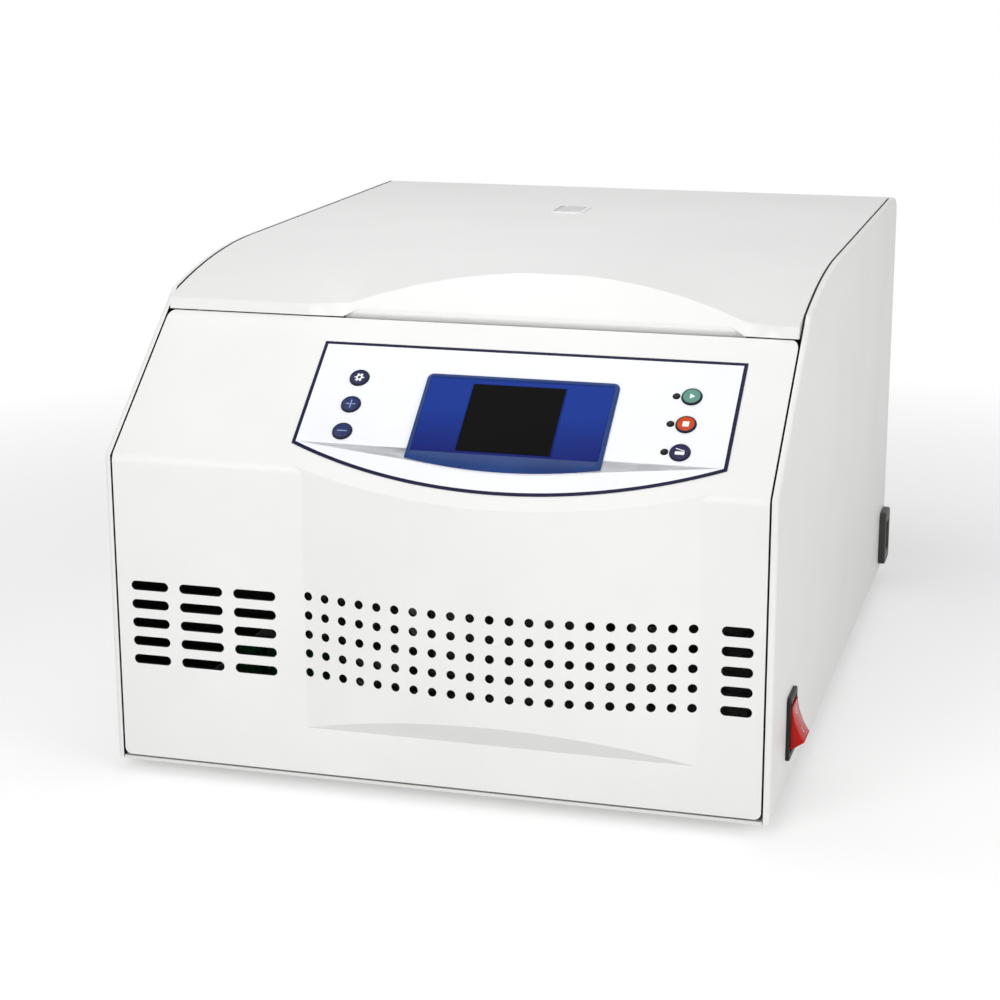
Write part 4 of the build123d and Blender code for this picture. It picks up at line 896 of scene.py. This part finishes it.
def sign_stop():
    square = slab("sign", -STOP_HALF, STOP_HALF, -STOP_HALF, STOP_HALF, 0.0, SIGN_THICKNESS)
    return [blunted(square, STOP_EDGE)]


def sign_lid():
    """A low box with its lid raised at the left."""
    box = blunted(slab("sign", *BOX, 0.0, SIGN_THICKNESS), BOX_EDGE)
    return [box, bar(**BOX_LID)]


# Each key's node, sign, colour, ink and slot
KEYS = [
    ("settings_key", sign_settings, "dark_key", "white_ink", "key_navy"),
    ("plus_key", sign_plus, "navy_key", "pale_ink", "key_navy"),
    ("minus_key", sign_minus, "navy_key", "pale_ink", "key_navy"),
    ("start_key", sign_start, "green_key", "white_ink", "key_green"),
    ("stop_key", sign_stop, "orange_key", "white_ink", "key_orange"),
    ("lid_key", sign_lid, "dark_key", "white_ink", "key_navy"),
]


def key_blank():
    """A round key from above: rim, dished face, and below it the flange and stem of its dome."""
    under = -PANEL_WALL - HAIR
    cap = disc("key_blank", KEY_RADIUS, under, KEY_TOP)
    to_flange = FLANGE_RADIUS / KEY_RADIUS
    to_stem = STEM_RADIUS / FLANGE_RADIUS
    with editing(cap):
        pick("edges", flat_at(KEY_TOP))
        soften(KEY_EDGE)
        pick("faces", flat_at(KEY_TOP))
        inset(KEY_RING)
        inset(KEY_SLOPE, -KEY_DISH)
        pick("faces", flat_at(under))
        extrude()
        resize(to_flange, to_flange)
        extrude(z=-FLANGE_THICKNESS)
        extrude()
        resize(to_stem, to_stem)
        extrude(z=-STEM_LENGTH)
    return cap


def on_key_face(face):
    """Whether a face lies inside the key's ring."""
    reach = max(vert.co.xy.length for vert in face.verts) * 1000
    high_enough = face.calc_center_median().z * 1000 > KEY_TOP - KEY_DISH - 0.05
    inside = reach < KEY_RADIUS - KEY_EDGE - KEY_RING + 0.05
    return face.normal.z > 0.3 and high_enough and inside


def make_keys(finishes):
    blank = key_blank()
    for (name, sign, colour, ink, slot), (x, s) in zip(KEYS, key_places()):
        paints = (finishes["key_rim"], finishes[colour], finishes[ink])
        cap = copied(blank, f"{name}_cap")
        dress(cap, *paints)
        with editing(cap):
            pick("faces", on_key_face)
            paint_picked(cap, 1)
        smooth(cap)
        level = KEY_TOP - KEY_DISH - SIGN_SUNK
        marks = [shifted(stroke, 0, 0, level) for stroke in inked(sign(), paints)]
        whole = shifted(joined(f"{name}_cap", [cap, *marks]), x, s)
        on_console(whole)
        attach(whole, name)
        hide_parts(name)
    bpy.data.objects.remove(blank)


def make_lamps(finishes):
    """Three status lenses, domed at the top, on their stems."""
    lens = disc("lens", LAMP_RADIUS, -PANEL_WALL, LAMP_TOP, sides=40)
    with editing(lens):
        pick("edges", flat_at(LAMP_TOP))
        soften(LAMP_EDGE)
        pick("faces", flat_at(-PANEL_WALL))
        extrude()
        resize(LAMP_STEM_SHARE, LAMP_STEM_SHARE)
        extrude(z=-LAMP_STEM)
    lamps = smooth(repeated(lens, "status_lenses", lamp_places()))
    dress(lamps, finishes["dark_lens"])
    on_console(lamps)
    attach(lamps, "case")
    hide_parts("status_leds")


# Screws
def screw_blank():
    """A pan head with a cross recess and its shank, head up and its underside at the origin."""
    head = disc("screw_blank", HEAD_RADIUS, 0.0, HEAD_HEIGHT, sides=32)
    to_shank = SHANK_RADIUS / HEAD_RADIUS
    with editing(head):
        pick("edges", flat_at(HEAD_HEIGHT))
        soften(HEAD_EDGE)
        pick("faces", flat_at(0.0))
        extrude()
        resize(to_shank, to_shank)
        extrude(z=-SHANK_LENGTH)
    half_width, half_length = RECESS_WIDTH / 2, RECESS_LENGTH / 2
    over = HEAD_HEIGHT + 0.4
    blade = slab("cutter", -half_width, half_width, -half_length, half_length, RECESS_FLOOR, over)
    cross = copied(blade, "cutter_across")
    moved(cross, Matrix.Rotation(pi / 2, 4, "Z"))
    cut_out(head, blade)
    cut_out(head, cross)
    return smooth(head)


def make_screws(finishes):
    blank = screw_blank()
    backward = Matrix.Rotation(-pi / 2, 4, "X")
    downward = Matrix.Rotation(pi, 4, "X")
    sets = [
        ("rear_screws", "case_screws", "case", backward, rear_screw_places()),
        ("liner_screws", "lid_screws", "lid", downward, lid_screw_places()),
    ]
    for name, node, body, turn, places in sets:
        screws = []
        for number, place in enumerate(places):
            twin = copied(blank, f"{name}_{number}")
            spin = Matrix.Rotation(SCREW_SPIN * number, 4, "Z")
            screws.append(moved(twin, Matrix.Translation(in_frame(*place)) @ turn @ spin))
        whole = joined(name, screws)
        dress(whole, finishes["zinc_plate"])
        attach(whole, body)
        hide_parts(node)
    bpy.data.objects.remove(blank)


def rear_screw_places():
    sides = (-1, 1)
    edge = [(sx * REAR_SCREWS_X, CASE_DEPTH, z) for sx in sides for z in REAR_SCREWS_Z]
    fan = [
        (FAN_X + sx * FAN_SCREWS, CASE_DEPTH, FAN_Z + sz * FAN_SCREWS) for sx in sides for sz in sides
    ]
    return edge + fan


def lid_screw_places():
    low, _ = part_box("lid_liner")
    under = low.z * 1000 - CASE_ORIGIN.z
    front_row = [(x, LINER_FRONT_Y, under) for x in LINER_SCREWS_X]
    return front_row + [(x, LINER_REAR_Y, under) for x in LINER_REAR_X]


# Fittings on the right side
def cylinder_along_y(name, radius, half, x, sides):
    rod = disc(name, radius, -half, half, sides=sides)
    place = Matrix.Translation((mm(x), 0, 0)) @ Matrix.Rotation(pi / 2, 4, "X")
    return moved(rod, place)


def make_rocker(finishes):
    """The rocker about its axis, face outward: tapered, hollowed by a large curve, with its marks."""
    half = ROCKER_WIDTH / 2
    paddle = slab(
        "power_rocker_paddle", -ROCKER_BACK, ROCKER_REACH, -half, half, -ROCKER_BASE, ROCKER_BASE
    )
    with editing(paddle):
        pick("faces", lambda f: f.normal.x > 0.9)
        resize(z=ROCKER_HALF / ROCKER_BASE)
        pick("faces", lambda f: f.normal.x < -0.9)
        extrude(-ROCKER_TAPER)
        resize(z=ROCKER_TAIL / ROCKER_BASE)
    sag = ROCKER_REACH - ROCKER_WAIST
    curve = (ROCKER_HALF**2 + sag**2) / (2 * sag)
    cut_out(paddle, cylinder_along_y("cutter", curve, 2 * ROCKER_WIDTH, ROCKER_WAIST + curve, 256))

    def round_face(edge):
        return middle(edge).x * 1000 > ROCKER_WAIST - 0.3 and edge.calc_face_angle(0) > 0.7

    with editing(paddle):
        pick("edges", round_face)
        soften(ROCKER_EDGE)
    smooth(paddle, 30.0)
    paints = (finishes["red_polycarbonate"], finishes["white_ink"])
    dress(paddle, *paints)
    pins = smooth(cylinder_along_y("pins", PIN_RADIUS, half + PIN_REACH, 0.0, 40))
    marks = inked([rocker_ring(), rocker_stroke()], paints)
    whole = joined("power_rocker_paddle", [paddle, pins, *marks])
    seat = Matrix.Translation(in_frame(ROCKER_AXIS_X, SWITCH_Y, SWITCH_Z))
    moved(whole, seat @ Matrix.Rotation(-ROCKER_TILT, 4, "Y"))
    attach(whole, "power_rocker")
    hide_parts("power_rocker")


def on_rocker_face(mark, side, rise):
    """Lays a mark on the hollow face, above the axis or below it, and turns it outward."""
    place = Matrix.Translation((mm(ROCKER_WAIST + rise), 0, mm(side * MARK_Z)))
    return moved(mark, place @ Matrix.Rotation(pi / 2 + side * MARK_LEAN, 4, "Y"))


def rocker_ring():
    """The off mark, a ring on the upper half."""
    ring = disc("ring", RING_RADIUS, -RING_SUNK, SIGN_THICKNESS, sides=40)
    with editing(ring):
        pick("faces", capping)
        inset(RING_WIDTH)
        bpy.ops.mesh.bridge_edge_loops()
    return on_rocker_face(ring, 1, RING_RISE)


def rocker_stroke():
    """The on mark, a stroke on the lower half."""
    return on_rocker_face(bar(**ON_STROKE), -1, STROKE_RISE)


def make_side_fittings(finishes):
    """The switch's frame and the inlet, as their solids but with softened rims."""
    fittings = [
        ("switch_frame", "switch_bezel", "black_nylon", SWITCH_FACE, 0.7),
        ("inlet_block", "power_inlet", "inlet_nylon", INLET_FACE, 1.2),
    ]
    for name, node, finish, face, rim in fittings:
        piece = merged_copy(node, name)
        level = in_frame(face, 0, 0).x * 1000
        with editing(piece):
            pick("edges", lambda e: all(near(v.co.x, level) for v in e.verts))
            soften(rim)
        smooth(piece)
        dress(piece, finishes[finish])
        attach(piece, "case")
        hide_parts(node)


# Each CAD node's finish
NODE_FINISHES = {
    "moulded_abs": "left_side_cover right_side_cover",
    "vented_abs": "front_panel",
    "lid_abs": "lid_shell window_frame",
    "powder_coat": "base_plate rear_panel deck_plate lid_liner",
    "circuit_board": "control_board power_board",
    "brushed_bowl": "rotor_bowl",
    "primer": "guard_ring",
    "grey_silicone": "bowl_gasket",
    "black_rubber": "shaft_boot rubber_isolators feet",
    "blasted_aluminium": "motor_housing motor_top_shield board_heat_sink rotor_yoke"
    " bucket_1 bucket_2 bucket_3 bucket_4",
    "lamination_stack": "stator_core motor_rotor",
    "enamelled_wire": "stator_windings",
    "stainless": "motor_bearings hinge_pins lid_strikers motor_shaft rotor_nut"
    " lock_bolt_left lock_bolt_right",
    "zinc_plate": "board_standoffs motor_bracket hinge_brackets hinge_leaves case_screws lid_screws",
    "inlet_nylon": "power_inlet",
    "nickelled_brass": "inlet_pins",
    "black_nylon": "switch_bezel fan_housing lock_bodies fan_impeller",
    "red_polycarbonate": "power_rocker",
    "clear_polycarbonate": "lid_window",
    "printed_film": "key_overlay",
    "blue_moulding": "display_bezel",
    "display_glass": "display_screen",
    "dark_lens": "status_leds",
    "dark_key": "settings_key lid_key",
    "navy_key": "plus_key minus_key",
    "green_key": "start_key",
    "orange_key": "stop_key",
}


def dress_nodes(finishes):
    for finish, names in NODE_FINISHES.items():
        for name in names.split():
            dress(nodes[name], finishes[finish])


# Stage and light
def seen_directly(tree):
    """1 for the rays that look at a thing, straight or by a mirror or glass, 0 for those that light."""
    rays = add(tree, "ShaderNodeLightPath").outputs
    looked_at = maths(tree, "MAXIMUM", rays["Is Camera Ray"], rays["Is Glossy Ray"])
    return maths(tree, "MAXIMUM", looked_at, rays["Is Transmission Ray"])


def make_floor():
    """A white sheet that keeps the case's shadow and runs out to plain white."""
    choose(nodes["feet"])
    bpy.ops.mesh.primitive_circle_add(vertices=128, radius=FLOOR_RADIUS, fill_type="NGON")
    floor = settled("floor")
    finish = bpy.data.materials.new("white_paper")
    finish.use_nodes = True
    tree = finish.node_tree
    tree.nodes.clear()
    white = linear("#ffffff")
    place = add(tree, "ShaderNodeTexCoord").outputs["Object"]
    away = add(tree, "ShaderNodeVectorMath", {"operation": "LENGTH"}, _0=place).outputs["Value"]
    from_case, to_white = FLOOR_FADE
    fade = add(tree, "ShaderNodeMapRange", Value=away, From_Min=from_case, From_Max=to_white)
    seen = seen_directly(tree)
    share = maths(tree, "MULTIPLY", seen, fade.outputs[0])
    lift = maths(tree, "MULTIPLY", seen, FLOOR_LIFT)
    paper = add(tree, "ShaderNodeBsdfDiffuse", Color=linear("#e3e3e3")).outputs[0]
    glow = add(tree, "ShaderNodeEmission", Color=white, Strength=lift).outputs[0]
    near_case = add(tree, "ShaderNodeAddShader", _0=paper, _1=glow).outputs[0]
    plain = add(tree, "ShaderNodeEmission", Color=white, Strength=1.0).outputs[0]
    mixed = add(tree, "ShaderNodeMixShader", _0=share, _1=near_case, _2=plain).outputs[0]
    add(tree, "ShaderNodeOutputMaterial", Surface=mixed)
    dress(floor, finish)


def make_light():
    """A pale room, and soft lamps before the case, over its lid and at its right."""
    world = bpy.data.worlds.new("studio")
    bpy.context.scene.world = world
    world.use_nodes = True
    tree = world.node_tree
    tree.nodes.clear()
    seen = seen_directly(tree)
    level = add(tree, "ShaderNodeMapRange", Value=seen, To_Min=ROOM_LEVEL, To_Max=1.0).outputs[0]
    room = add(tree, "ShaderNodeBackground", Color=linear("#ffffff"), Strength=level).outputs[0]
    add(tree, "ShaderNodeOutputWorld", Surface=room)
    for name, watts, width, place, aim in LAMPS:
        data = bpy.data.lights.new(name, "AREA")
        data.energy = watts
        data.size = width
        lamp = bpy.data.objects.new(name, data)
        bpy.context.scene.collection.objects.link(lamp)
        facing = (Vector(aim) - Vector(place)).to_track_quat("-Z", "Y").to_matrix().to_4x4()
        lamp.matrix_world = Matrix.Translation(place) @ facing


make_camera()
finishes = make_finishes()
dress_nodes(finishes)
make_film(finishes)
make_surround(finishes)
make_glass(finishes)
make_keys(finishes)
make_lamps(finishes)
make_screws(finishes)
make_rocker(finishes)
make_side_fittings(finishes)
make_floor()
make_light()
bpy.context.scene.view_settings.view_transform = "Standard"
